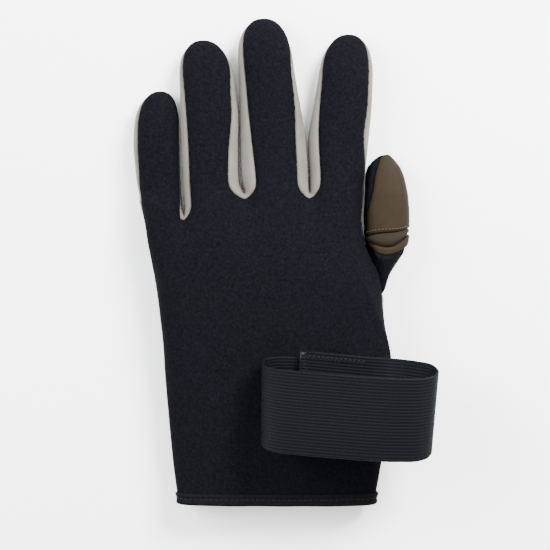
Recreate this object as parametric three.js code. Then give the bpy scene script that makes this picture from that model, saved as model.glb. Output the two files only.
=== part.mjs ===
import * as THREE from 'three';

// A left-hand neoprene fishing glove that lies palm down.
// Units are millimetres. +X is the thumb side, +Y the fingertips, +Z the back of the hand.
// While it is worked out, x = 0 is the hand's middle line and y = 0 the cuff edge.

// Driving dimensions
const palmLength = 152.5;        // cuff edge to the crotch beside the middle finger
const palmWidth = 112;           // flat width across the knuckles
const palmHeight = 26;           // thickness of the empty hand where it is fullest
const neopreneWall = 2.6;
const suedeWall = 1.6;
const seamGap = 0.3;             // space between two pieces that meet at a seam
const wristLine = 62;            // cuff edge to the lower edge of the suede palm

const thumbLength = 48;          // thumb crotch to thumb tip
const thumbWidth = 22.8;
const thumbHeight = 15.5;
const thumbCrotchY = 129;        // cuff edge to the crotch between thumb and hand
const thumbRootLength = 25;      // opening in the hand's side where the thumb starts

const bindingWidth = 5.8;
const bindingTape = 0.8;         // thickness of the folded tape round the cuff

const strapWidth = 40;
const strapThickness = 1.5;
const strapSpan = 84.5;          // left fold to right fold of the loop
const strapRise = 20;            // height of the loop above the hand's back
const strapTurn = -4.5;          // degrees that the strap leans towards the cuff
const strapFoldX = -4.6;         // place of the left fold
const strapMiddleY = 55.2;       // middle of the webbing at the left fold
const patchThickness = 1.6;
const patchLength = 35;

// Number of mesh steps
const fingerColumns = 4;         // across the top of one finger, and across its underside
const sideColumns = 3;           // down one side of a finger or of the hand
const strapColumns = 4;

// Section rows of the hand. `at` is a share of palmLength, `left` and `right` are shares of
// palmWidth, and `height` is a share of palmHeight. `full` is 1 for an ellipse and less for a fuller
// section, the flat underside starts at `corner` degrees below the widest line, and the seams are
// degrees above it.
const handRows = [
  { at: 0.000, left: -0.404, right: 0.464, height: 0.78, full: 0.74, corner: 50, seamLeft: -24, seamRight: -24 },
  { at: 0.138, left: -0.432, right: 0.498, height: 0.80, full: 0.76, corner: 50, seamLeft: -24, seamRight: -24 },
  { at: 0.275, left: -0.451, right: 0.520, height: 0.84, full: 0.78, corner: 50, seamLeft: -24, seamRight: -24 },
  { at: 0.420, left: -0.467, right: 0.540, height: 0.90, full: 0.80, corner: 50, seamLeft: -24, seamRight: -22 },
  { at: 0.518, left: -0.474, right: 0.534, height: 0.95, full: 0.80, corner: 50, seamLeft: -24, seamRight: -18 },
  { at: 0.600, left: -0.486, right: 0.518, height: 0.99, full: 0.80, corner: 50, seamLeft: -24, seamRight: -10 },
  { at: 0.705, left: -0.503, right: 0.504, height: 1.00, full: 0.80, corner: 50, seamLeft: -24, seamRight: 3 },
  { at: 0.765, left: -0.517, right: 0.484, height: 0.98, full: 0.78, corner: 50, seamLeft: -22, seamRight: 12 },
  { at: 0.836, left: -0.541, right: 0.441, height: 0.93, full: 0.72, corner: 48, seamLeft: -18, seamRight: 14 },
  { at: 0.918, left: -0.564, right: 0.420, height: 0.86, full: 0.62, corner: 42, seamLeft: -8, seamRight: -8 },
  { at: 1.000, left: -0.582, right: 0.422, height: 0.79, full: 0.54, corner: 36, seamLeft: 8, seamRight: -3 },
  { at: 1.082, left: -0.598, right: 0.429, height: 0.74, full: 0.50, corner: 34, seamLeft: 26, seamRight: 0 },
];

// The four fingers, from the little finger to the index finger.
// Root and tip are places in the hand's plan, in millimetres. In the rows, `at` is a share of the
// length from root to tip, `shift` is how far the middle line leans, as a share of the width, and
// `width` and `height` are shares of the finger's own width and height.
const fingers = [
  {
    name: 'little', width: 23, height: 14.5, rootX: -53.75, rootY: 142, tipX: -55, tipY: 206.2, tipRound: 19.5,
    rows: [
      { at: 0.00, shift: 0.000, width: 0.87, height: 1.22, seamLeft: -6, seamRight: 20 },
      { at: 0.15, shift: -0.041, width: 0.91, height: 1.12, seamLeft: 8, seamRight: 8 },
      { at: 0.35, shift: -0.098, width: 0.955, height: 1.03, seamLeft: 28, seamRight: 4 },
      { at: 0.55, shift: -0.135, width: 1.00, height: 1.00, seamLeft: 35, seamRight: 2 },
      { at: 0.70, shift: -0.137, width: 0.985, height: 0.97, seamLeft: 33, seamRight: 0 },
      { at: 0.87, shift: -0.100, width: 0.98, height: 0.92, seamLeft: 22, seamRight: -4 },
      { at: 1.00, shift: -0.054, width: 0.98, height: 0.90, seamLeft: -8, seamRight: -10 },
    ],
  },
  {
    name: 'ring', width: 29.5, height: 16.5, rootX: -28.3, rootY: 147, tipX: -33.5, tipY: 231.6, tipRound: 22.5,
    rows: [
      { at: 0.00, shift: 0.000, width: 0.965, height: 1.18, seamLeft: 40, seamRight: 50 },
      { at: 0.15, shift: -0.037, width: 0.955, height: 1.10, seamLeft: 41, seamRight: 52 },
      { at: 0.35, shift: -0.056, width: 0.970, height: 1.03, seamLeft: 42, seamRight: 49 },
      { at: 0.55, shift: -0.070, width: 1.000, height: 1.00, seamLeft: 40, seamRight: 39 },
      { at: 0.73, shift: -0.100, width: 0.935, height: 0.95, seamLeft: 29, seamRight: 30 },
      { at: 0.87, shift: -0.140, width: 0.930, height: 0.90, seamLeft: 20, seamRight: 8 },
      { at: 1.00, shift: -0.176, width: 0.930, height: 0.88, seamLeft: -8, seamRight: -10 },
    ],
  },
  {
    name: 'middle', width: 33, height: 17, rootX: 3.1, rootY: 152.5, tipX: -3.25, tipY: 242.6, tipRound: 23.6,
    rows: [
      { at: 0.00, shift: 0.000, width: 0.985, height: 1.18, seamLeft: 56, seamRight: 49 },
      { at: 0.15, shift: -0.027, width: 1.020, height: 1.10, seamLeft: 57, seamRight: 49 },
      { at: 0.35, shift: -0.056, width: 0.985, height: 1.03, seamLeft: 50, seamRight: 46 },
      { at: 0.55, shift: -0.101, width: 0.900, height: 1.00, seamLeft: 41, seamRight: 30 },
      { at: 0.74, shift: -0.154, width: 0.848, height: 0.95, seamLeft: 37, seamRight: 20 },
      { at: 0.87, shift: -0.178, width: 0.848, height: 0.90, seamLeft: 28, seamRight: -2 },
      { at: 1.00, shift: -0.192, width: 0.848, height: 0.87, seamLeft: -8, seamRight: -10 },
    ],
  },
  {
    name: 'index', width: 30, height: 16.5, rootX: 33.5, rootY: 152.7, tipX: 39.3, tipY: 234.9, tipRound: 23.4,
    rows: [
      { at: 0.00, shift: 0.000, width: 0.900, height: 1.18, seamLeft: 51, seamRight: 1 },
      { at: 0.15, shift: 0.010, width: 0.932, height: 1.10, seamLeft: 51, seamRight: 5 },
      { at: 0.35, shift: 0.028, width: 1.003, height: 1.03, seamLeft: 48, seamRight: 32 },
      { at: 0.55, shift: 0.093, width: 0.972, height: 1.00, seamLeft: 36, seamRight: 29 },
      { at: 0.72, shift: 0.142, width: 0.917, height: 0.95, seamLeft: 26, seamRight: 29 },
      { at: 0.87, shift: 0.170, width: 0.910, height: 0.90, seamLeft: 10, seamRight: 24 },
      { at: 1.00, shift: 0.193, width: 0.910, height: 0.88, seamLeft: -8, seamRight: -5 },
    ],
  },
];

// Crotches between neighbouring fingers: plan place of the seam's turning point, in millimetres.
const crotches = [
  { name: 'little_ring', x: -43.0, y: 142.0 },
  { name: 'ring_middle', x: -12.6, y: 152.5 },
  { name: 'middle_index', x: 19.7, y: 152.7 },
];
const littleRootY = 150;         // where the little finger's outer side starts
const indexRootY = 155;          // where the index finger's outer side starts

// Low dents and swells of the hand's back. Places are shares of palmWidth and palmLength, and
// depth is a share of palmHeight; a negative depth is a swell.
const backDents = [
  { x: -0.06, y: 0.33, spreadX: 0.10, spreadY: 0.30, depth: 0.060 },
  { x: 0.05, y: 0.60, spreadX: 0.16, spreadY: 0.16, depth: 0.030 },
  { x: 0.33, y: 0.30, spreadX: 0.12, spreadY: 0.30, depth: -0.030 },
  { x: -0.36, y: 0.45, spreadX: 0.08, spreadY: 0.35, depth: -0.025 },
];
const valleyDepth = 3.2;         // depth of the groove that runs into each crotch
const valleyReach = 24;          // how far the groove runs down the hand
const valleySpread = 6;

// Section rows of the thumb, from its root outwards. Inner and outer are shares of thumbWidth from
// the hand's edge; the y columns are shares of thumbLength from the crotch, and seam is degrees.
const thumbRows = [
  { inner: 0.050, innerY: 0.030, midY: -0.170, outer: 0.530, outerY: -0.260, height: 1.10, seam: 150 },
  { inner: -0.005, innerY: 0.045, midY: -0.100, outer: 0.850, outerY: -0.050, height: 1.05, seam: 160 },
  { inner: -0.022, innerY: 0.070, midY: -0.040, outer: 0.915, outerY: 0.040, height: 1.03, seam: 163 },
  { inner: -0.050, innerY: 0.145, midY: 0.125, outer: 0.920, outerY: 0.188, height: 1.00, seam: 165 },
  { inner: -0.075, innerY: 0.354, midY: 0.354, outer: 0.920, outerY: 0.354, height: 0.97, seam: 152 },
  { inner: -0.070, innerY: 0.545, midY: 0.545, outer: 0.885, outerY: 0.545, height: 0.90, seam: 131 },
  { inner: -0.060, innerY: 0.710, midY: 0.720, outer: 0.810, outerY: 0.710, height: 0.78, seam: 122 },
  { inner: -0.005, innerY: 0.815, midY: 0.828, outer: 0.725, outerY: 0.810, height: 0.66, seam: 115 },
  { inner: 0.160, innerY: 0.880, midY: 0.900, outer: 0.560, outerY: 0.880, height: 0.42, seam: 115 },
];
const thumbTip = { x: 0.40, y: 0.945 };
const lipRow = 1;                // the slit's lower edge starts at this thumb row
const slitRow = 2;
const hemRow = 3;                // the cap's stitched hem lies at this thumb row
const underlapReach = 0.5;       // share of the next row's length that the underlap goes on inside the cap
const underlapInset = 0.6;      // share of a column that it keeps from the shell's edges

// Course of the strap from its sewn start to its free end. `along` is a share of strapSpan from the
// left fold, `rise` a share of strapRise, `follow` says how much it keeps to the hand's back,
// `layer` counts the thicknesses beneath it, `skew` is a share of strapWidth towards the
// fingertips, and `splay` a share of strapWidth that its cuff side stands to the right.
const strapRows = [
  { along: 0.62, rise: 0.00, follow: 1.00, layer: 0, skew: 0.00, splay: 0.00 },
  { along: 0.50, rise: 0.00, follow: 1.00, layer: 0, skew: 0.00, splay: 0.00 },
  { along: 0.38, rise: 0.00, follow: 1.00, layer: 0, skew: 0.00, splay: 0.00 },
  { along: 0.26, rise: 0.00, follow: 1.00, layer: 0, skew: 0.00, splay: 0.00 },
  { along: 0.15, rise: 0.01, follow: 1.00, layer: 0, skew: 0.00, splay: 0.00 },
  { along: 0.065, rise: 0.07, follow: 0.90, layer: 0, skew: -0.015, splay: 0.03 },
  { along: 0.012, rise: 0.25, follow: 0.60, layer: 0, skew: -0.04, splay: 0.06 },
  { along: 0.000, rise: 0.50, follow: 0.30, layer: 0, skew: -0.085, splay: 0.07 },
  { along: 0.020, rise: 0.76, follow: 0.00, layer: 0, skew: -0.12, splay: 0.075 },
  { along: 0.085, rise: 0.97, follow: 0.00, layer: 0, skew: -0.135, splay: 0.075 },
  { along: 0.22, rise: 1.08, follow: 0.00, layer: 0, skew: -0.14, splay: 0.06 },
  { along: 0.42, rise: 1.13, follow: 0.00, layer: 0, skew: -0.14, splay: 0.045 },
  { along: 0.62, rise: 1.12, follow: 0.00, layer: 0, skew: -0.14, splay: 0.03 },
  { along: 0.80, rise: 1.04, follow: 0.00, layer: 0, skew: -0.13, splay: 0.015 },
  { along: 0.92, rise: 0.90, follow: 0.00, layer: 0, skew: -0.11, splay: 0.00 },
  { along: 0.985, rise: 0.70, follow: 0.00, layer: 0, skew: -0.065, splay: -0.01 },
  { along: 1.000, rise: 0.50, follow: 0.00, layer: 0, skew: -0.005, splay: -0.01 },
  { along: 0.97, rise: 0.33, follow: 0.00, layer: 0, skew: 0.045, splay: -0.01 },
  { along: 0.88, rise: 0.22, follow: 0.10, layer: 0.3, skew: 0.07, splay: -0.01 },
  { along: 0.75, rise: 0.14, follow: 0.40, layer: 0.7, skew: 0.075, splay: 0.00 },
  { along: 0.62, rise: 0.05, follow: 0.80, layer: 1, skew: 0.075, splay: 0.00 },
  { along: 0.50, rise: 0.01, follow: 1.00, layer: 1, skew: 0.08, splay: 0.00 },
  { along: 0.36, rise: 0.00, follow: 1.00, layer: 1, skew: 0.085, splay: 0.00 },
  { along: 0.21, rise: 0.00, follow: 1.00, layer: 1, skew: 0.09, splay: 0.00 },
];

// Shape of the sections: 1 is an ellipse, less is fuller
const fingerFullness = 0.9;
const thumbFullness = 0.9;
const tipFullness = 2.25;
const widestShare = 0.42;        // height of the widest line as a share of the section's height
const flatFactor = 1.25;         // more than 1 flattens the underside
const cornerAngle = 50;          // degrees below a finger's widest line where its flat underside starts
const crotchBlend = 9;           // length over which a finger grows out of the hand
const webForward = 3;            // how far the middle of a web stands before its ends
const crotchHeight = 0.86;       // height of the crotch seam as a share of the hand's height there

// Numbers and interpolation
const degrees = (angle) => THREE.MathUtils.degToRad(angle);
const mix = THREE.MathUtils.lerp;
const powered = (value, power) => Math.sign(value) * Math.abs(value) ** power;

function smoothShare(value, start, end) {
  return THREE.MathUtils.smoothstep(value, start, end);
}

// A smooth curve through the rows' values, read at a place between the first and last row.
function readRows(rows, column, at) {
  const last = rows.length - 1;
  const place = THREE.MathUtils.clamp(at, rows[0].at, rows[last].at);
  let row = 0;
  while (row < last - 1 && rows[row + 1].at < place) row += 1;
  const slope = (index) => {
    const before = rows[Math.max(index - 1, 0)];
    const after = rows[Math.min(index + 1, last)];
    return (after[column] - before[column]) / (after.at - before.at);
  };
  const start = rows[row];
  const end = rows[row + 1];
  const span = end.at - start.at;
  const share = (place - start.at) / span;
  const square = share * share;
  const cube = square * share;
  return (2 * cube - 3 * square + 1) * start[column] + (cube - 2 * square + share) * span * slope(row)
    + (3 * square - 2 * cube) * end[column] + (cube - square) * span * slope(row + 1);
}

// Height of a section above its underside, for a direction given by its sine.
function sectionHeight(height, sine, fullness, roundness = 1) {
  const widest = widestShare * height;
  if (sine >= 0) return widest + roundness * (height - widest) * sine ** fullness;
  return widest - roundness * widest * Math.min(1, flatFactor * Math.abs(sine) ** fullness);
}

// The hand's outline and surface
function handSection(y) {
  const at = y / palmLength;
  const left = readRows(handRows, 'left', at) * palmWidth;
  const right = readRows(handRows, 'right', at) * palmWidth;
  return {
    middle: (left + right) / 2,
    half: (right - left) / 2,
    height: readRows(handRows, 'height', at) * palmHeight,
    full: readRows(handRows, 'full', at),
    corner: readRows(handRows, 'corner', at),
    seamLeft: readRows(handRows, 'seamLeft', at),
    seamRight: readRows(handRows, 'seamRight', at),
  };
}

function cuffLift(y) {
  return (bindingTape + seamGap) * (1 - smoothShare(y, bindingWidth + 1, 3 * bindingWidth));
}

function backRelief(x, y) {
  let relief = 0;
  for (const dent of backDents) {
    const across = (x / palmWidth - dent.x) / dent.spreadX;
    const along = (y / palmLength - dent.y) / dent.spreadY;
    relief -= dent.depth * palmHeight * Math.exp(-across * across - along * along);
  }
  for (const crotch of crotches) {
    const across = (x - crotch.x) / valleySpread;
    relief -= valleyDepth * Math.exp(-across * across) * smoothShare(y, crotch.y - valleyReach, crotch.y);
  }
  return relief;
}

function handPoint(angle, y) {
  const section = handSection(y);
  const cosine = Math.cos(degrees(angle));
  const sine = Math.sin(degrees(angle));
  const x = section.middle + section.half * powered(cosine, section.full);
  let z = cuffLift(y) * (1 - Math.max(sine, 0)) + sectionHeight(section.height, sine, section.full);
  if (sine > 0) z += backRelief(x, y) * Math.sqrt(sine);
  return new THREE.Vector3(x, y, z);
}

// Direction in the hand's section whose point lies at x, on its upper or lower side.
function handAngle(x, y, side) {
  const section = handSection(y);
  const share = THREE.MathUtils.clamp((x - section.middle) / section.half, -1, 1);
  return side * THREE.MathUtils.radToDeg(Math.acos(powered(share, 1 / section.full)));
}

function backHeight(x, y) {
  return handPoint(handAngle(x, y, 1), y).z;
}

// The glove's skin: shared points, and faces that name the panel they belong to
const skin = { points: [], faces: [] };

function addPoint(point) {
  skin.points.push(point);
  return skin.points.length - 1;
}

function addBand(panelOf, lower, upper, closed = true) {
  const count = closed ? lower.length : lower.length - 1;
  for (let column = 0; column < count; column += 1) {
    const next = (column + 1) % lower.length;
    const panel = panelOf(column);
    if (panel) skin.faces.push({ panel, corners: [lower[column], lower[next], upper[next], upper[column]] });
  }
}

function addFan(panelOf, ring, centre) {
  ring.forEach((corner, column) => {
    const next = ring[(column + 1) % ring.length];
    skin.faces.push({ panel: panelOf(column), corners: [corner, next, centre] });
  });
}

// The hand: rings of columns from the cuff to the knuckles. A ring runs over the back from left to
// right, down the right side, under the palm from right to left and up the left side.
const acrossColumns = fingers.length * fingerColumns;
const handRingSize = 2 * (acrossColumns + sideColumns);
const rightSideStart = acrossColumns;
const palmStart = acrossColumns + sideColumns;
const leftSideStart = palmStart + acrossColumns;
const cuffStart = seamGap + bindingTape;
const cuffSteps = 3;
const wristSteps = 3;
const thumbSteps = 3;
const knuckleSteps = 2;
const wristStation = 1 + cuffSteps;
const thumbStart = wristStation + wristSteps;
const thumbEnd = thumbStart + thumbSteps;

// Stations are shares of the way from the cuff to the index finger's root.
function stationAt(y) {
  return (y - cuffStart) / (indexRootY - cuffStart);
}

function evenStations(from, to, steps) {
  return Array.from({ length: steps }, (unused, step) => mix(from, to, (step + 1) / steps));
}

const bindingStation = stationAt(bindingWidth + 1);
const handStations = [
  0,
  bindingStation,
  ...evenStations(bindingStation, stationAt(wristLine), cuffSteps),
  ...evenStations(stationAt(wristLine), stationAt(thumbCrotchY - thumbRootLength), wristSteps),
  ...evenStations(stationAt(thumbCrotchY - thumbRootLength), stationAt(thumbCrotchY), thumbSteps),
  ...evenStations(stationAt(thumbCrotchY), 1, knuckleSteps),
];

// Place of the knuckle line for a share of the way across the hand, between two end directions.
function knucklePlace(share, leftAngle, rightAngle) {
  const stops = [
    { x: handPoint(leftAngle, littleRootY).x, y: littleRootY },
    ...crotches.map((crotch) => ({ x: crotch.x, y: crotch.y })),
    { x: handPoint(rightAngle, indexRootY).x, y: indexRootY },
  ];
  const slot = Math.min(Math.floor(share * fingers.length), fingers.length - 1);
  const rest = share * fingers.length - slot;
  return {
    x: mix(stops[slot].x, stops[slot + 1].x, rest),
    y: mix(stops[slot].y, stops[slot + 1].y, rest),
  };
}

// Directions in which the back and the palm side of a section start and end.
const backEnds = (section) => [180 - section.seamLeft, section.seamRight];
const palmEnds = (section) => [-section.corner, section.corner - 180];

// Direction of a column across the back or the palm side. The columns are evenly spread at the
// cuff, and each leads to its own place on the knuckle line.
function acrossPoint(share, station, place, endsOf, side) {
  const y = mix(cuffStart, place.y, station);
  const [first, last] = endsOf(handSection(y));
  if (share === 0 || share === 1) return handPoint(mix(first, last, share), y);
  const straight = THREE.MathUtils.clamp(handAngle(place.x, y, side), last, first);
  return handPoint(mix(mix(first, last, share), straight, smoothShare(station, 0.25, 1)), y);
}

function handColumn(column, station) {
  const littleRoot = handSection(littleRootY);
  const indexRoot = handSection(indexRootY);
  if (column <= acrossColumns) {
    const share = column / acrossColumns;
    const place = knucklePlace(share, backEnds(littleRoot)[0], backEnds(indexRoot)[1]);
    return acrossPoint(share, station, place, backEnds, 1);
  }
  if (column < palmStart) {
    const y = mix(cuffStart, indexRootY, station);
    const section = handSection(y);
    return handPoint(mix(section.seamRight, -section.corner, (column - rightSideStart) / sideColumns), y);
  }
  if (column <= leftSideStart) {
    const share = (column - palmStart) / acrossColumns;
    const place = knucklePlace(1 - share, palmEnds(littleRoot)[1], palmEnds(indexRoot)[0]);
    return acrossPoint(share, station, place, palmEnds, -1);
  }
  const y = mix(cuffStart, littleRootY, station);
  const section = handSection(y);
  const share = (column - leftSideStart) / sideColumns;
  return handPoint(mix(section.corner - 180, -180 - section.seamLeft, share), y);
}

function handPanel(column, station) {
  if (column < rightSideStart) return 'back_panel';
  const inThumb = station >= thumbStart && station < thumbEnd;
  if (column < palmStart && inThumb) return null;
  return station < wristStation ? 'wrist_panel' : 'palm_panel';
}

const handRings = handStations.map((station) => {
  const ring = [];
  for (let column = 0; column < handRingSize; column += 1) ring.push(addPoint(handColumn(column, station)));
  return ring;
});
handRings.slice(1).forEach((upper, station) => {
  addBand((column) => handPanel(column, station), handRings[station], upper);
});

// The webs between the fingers: lines of points from the back's seam down to the palm's seam
const knuckleRing = handRings[handRings.length - 1];
const webs = crotches.map((crotch, index) => {
  const top = knuckleRing[(index + 1) * fingerColumns];
  const bottom = knuckleRing[leftSideStart - (index + 1) * fingerColumns];
  skin.points[top].z *= crotchHeight;
  const inner = [];
  for (let step = 1; step < sideColumns; step += 1) {
    const point = skin.points[top].clone().lerp(skin.points[bottom], step / sideColumns);
    point.y += webForward * Math.sin(Math.PI * step / sideColumns);
    inner.push(addPoint(point));
  }
  return { top, inner, bottom };
});

// A finger's section at a height y, with a roundness below 1 inside the rounded tip.
function fingerSection(finger, y, roundness) {
  const at = (y - finger.rootY) / (finger.tipY - finger.rootY);
  return {
    middle: finger.rootX + readRows(finger.rows, 'shift', at) * finger.width,
    half: readRows(finger.rows, 'width', at) * finger.width / 2 * roundness,
    height: readRows(finger.rows, 'height', at) * finger.height,
    seamLeft: readRows(finger.rows, 'seamLeft', at),
    seamRight: readRows(finger.rows, 'seamRight', at),
  };
}

function fingerAngle(column, section) {
  const palm = fingerColumns + sideColumns;
  const left = palm + fingerColumns;
  if (column <= fingerColumns) return mix(180 - section.seamLeft, section.seamRight, column / fingerColumns);
  if (column <= palm) return mix(section.seamRight, -cornerAngle, (column - fingerColumns) / sideColumns);
  if (column <= left) return mix(-cornerAngle, cornerAngle - 180, (column - palm) / fingerColumns);
  return mix(cornerAngle - 180, -180 - section.seamLeft, (column - left) / sideColumns);
}

function fingerPanel(index, column) {
  if (column < fingerColumns) return 'back_panel';
  if (column < fingerColumns + sideColumns) {
    return index < crotches.length ? `${crotches[index].name}_gusset` : 'palm_panel';
  }
  if (column < 2 * fingerColumns + sideColumns) return 'palm_panel';
  return index > 0 ? `${crotches[index - 1].name}_gusset` : 'palm_panel';
}

// The ring in which a finger leaves the hand, made of the hand's last ring and the two webs.
function fingerRoot(index) {
  const ring = [];
  const first = index * fingerColumns;
  for (let column = 0; column <= fingerColumns; column += 1) ring.push(knuckleRing[first + column]);
  if (index < webs.length) ring.push(...webs[index].inner);
  else for (let step = 1; step < sideColumns; step += 1) ring.push(knuckleRing[rightSideStart + step]);
  for (let column = fingerColumns; column >= 0; column -= 1) {
    ring.push(knuckleRing[leftSideStart - first - column]);
  }
  if (index > 0) ring.push(...[...webs[index - 1].inner].reverse());
  else for (let step = 1; step < sideColumns; step += 1) ring.push(knuckleRing[leftSideStart + step]);
  return ring;
}

const shaftShares = [0.04, 0.1, 0.2, 0.4, 0.7, 1];
const tipAngles = [30, 52, 72];

function fingerStations(finger) {
  const shaft = finger.tipY - finger.tipRound - finger.rootY;
  const stations = shaftShares.map((share) => ({ share, y: finger.rootY + shaft * share, roundness: 1 }));
  for (const angle of tipAngles) {
    const rise = Math.sin(degrees(angle));
    stations.push({
      share: 1,
      y: finger.rootY + shaft + finger.tipRound * rise,
      roundness: (1 - rise ** tipFullness) ** (1 / tipFullness),
    });
  }
  return stations;
}

fingers.forEach((finger, index) => {
  const root = fingerRoot(index);
  let lower = root;
  for (const station of fingerStations(finger)) {
    const upper = root.map((base, column) => {
      const start = skin.points[base];
      const y = station.y + (start.y - finger.rootY) * (1 - station.share);
      const section = fingerSection(finger, y, station.roundness);
      const angle = degrees(fingerAngle(column, section));
      const x = section.middle + section.half * powered(Math.cos(angle), fingerFullness);
      const z = sectionHeight(section.height, Math.sin(angle), fingerFullness, station.roundness);
      const grown = smoothShare(y - start.y, 0, crotchBlend);
      return addPoint(new THREE.Vector3(mix(start.x, x, grown), y, mix(start.z, z, grown)));
    });
    addBand((column) => fingerPanel(index, column), lower, upper);
    lower = upper;
  }
  const end = fingerSection(finger, finger.tipY, 0);
  const tip = addPoint(new THREE.Vector3(finger.tipX, finger.tipY, sectionHeight(end.height, 0, 1)));
  addFan((column) => (column < fingerColumns ? 'back_panel' : 'palm_panel'), lower, tip);
});

// The thumb: it starts at the opening in the hand's right side. Its ring runs over the top from the
// crotch outwards, down the outer side, back underneath and up the side that faces the hand.
const thumbOuterStart = thumbSteps;
const thumbUnderStart = thumbSteps + sideColumns;
const thumbInnerStart = thumbUnderStart + thumbSteps;

function thumbRoot() {
  const ring = [];
  for (let station = thumbEnd; station > thumbStart; station -= 1) ring.push(handRings[station][rightSideStart]);
  for (let step = 0; step < sideColumns; step += 1) ring.push(handRings[thumbStart][rightSideStart + step]);
  for (let station = thumbStart; station < thumbEnd; station += 1) ring.push(handRings[station][palmStart]);
  for (let step = sideColumns; step > 0; step -= 1) ring.push(handRings[thumbEnd][rightSideStart + step]);
  return ring;
}

function thumbAngle(column, seam) {
  if (column <= thumbOuterStart) return mix(seam, 40, column / thumbSteps);
  if (column <= thumbUnderStart) return mix(40, -cornerAngle, (column - thumbOuterStart) / sideColumns);
  if (column <= thumbInnerStart) {
    return mix(-cornerAngle, cornerAngle - 180, (column - thumbUnderStart) / thumbSteps);
  }
  return mix(cornerAngle - 180, seam - 360, (column - thumbInnerStart) / sideColumns);
}

const thumbBaseX = handPoint(0, thumbCrotchY).x;

// A point of the thumb's skin, sunk below it by a depth.
function thumbPoint(row, column, depth = 0) {
  const angle = degrees(thumbAngle(column, row.seam));
  const across = powered(Math.cos(angle), thumbFullness);
  const sine = Math.sin(angle);
  const centre = (row.inner + row.outer) / 2 * thumbWidth;
  const half = (row.outer - row.inner) / 2 * thumbWidth - depth;
  const height = row.height * thumbHeight;
  const side = across < 0 ? row.innerY : row.outerY;
  const y = thumbCrotchY + mix(row.midY, side, across * across) * thumbLength;
  const lower = (widestShare * height - depth) * Math.min(1, flatFactor * Math.abs(sine) ** thumbFullness);
  const upper = ((1 - widestShare) * height - depth) * Math.abs(sine) ** thumbFullness;
  const widest = thumbHeight * widestShare * Math.max(row.height, 1 - (1 - row.height) / 2);
  return new THREE.Vector3(thumbBaseX + centre + half * across, y, widest + (sine < 0 ? -lower : upper));
}

function thumbPanel(column, row) {
  if (row < lipRow || column >= thumbInnerStart) return 'thumb_shell';
  if (row < slitRow) return 'thumb_lip';
  return row < hemRow ? null : 'thumb_cap';
}

let thumbRing = thumbRoot();
thumbRows.forEach((row, index) => {
  const upper = thumbRing.map((corner, column) => addPoint(thumbPoint(row, column)));
  addBand((column) => thumbPanel(column, index - 1), thumbRing, upper);
  thumbRing = upper;
});
const thumbEndPoint = addPoint(new THREE.Vector3(
  thumbBaseX + thumbTip.x * thumbWidth,
  thumbCrotchY + thumbTip.y * thumbLength,
  widestShare * thumbHeight,
));
addFan((column) => thumbPanel(column, thumbRows.length), thumbRing, thumbEndPoint);

// Normals of the whole skin, so that panels that meet at a seam share the direction of their walls
const skinNormals = skin.points.map(() => new THREE.Vector3());
for (const face of skin.faces) {
  const [a, b, c] = face.corners.map((corner) => skin.points[corner]);
  const d = skin.points[face.corners[face.corners.length - 1]];
  const normal = c.clone().sub(a).cross(d.clone().sub(b));
  if (face.corners.length === 3) normal.copy(b.clone().sub(a).cross(c.clone().sub(a)));
  for (const corner of face.corners) skinNormals[corner].add(normal);
}
skinNormals.forEach((normal) => normal.normalize());

// A closed solid from outer and inner points and the faces between them. The labels decide which
// way a rim's squares are split, so that two panels split their shared rim alike.
function closedGeometry(outer, inner, faces, labels) {
  const indices = [];
  const shift = outer.length;
  const edges = new Map();
  for (const corners of faces) {
    for (let corner = 1; corner < corners.length - 1; corner += 1) {
      indices.push(corners[0], corners[corner], corners[corner + 1]);
      indices.push(shift + corners[0], shift + corners[corner + 1], shift + corners[corner]);
    }
    corners.forEach((from, place) => {
      const to = corners[(place + 1) % corners.length];
      if (edges.has(`${to}_${from}`)) edges.delete(`${to}_${from}`);
      else edges.set(`${from}_${to}`, [from, to]);
    });
  }
  for (const [from, to] of edges.values()) {
    if (labels && labels[from] < labels[to]) indices.push(to, from, shift + to, from, shift + from, shift + to);
    else indices.push(to, from, shift + from, to, shift + from, shift + to);
  }
  const geometry = new THREE.BufferGeometry();
  const positions = [...outer, ...inner].flatMap((point) => point.toArray());
  geometry.setAttribute('position', new THREE.Float32BufferAttribute(positions, 3));
  geometry.setIndex(indices);
  return geometry;
}

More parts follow.
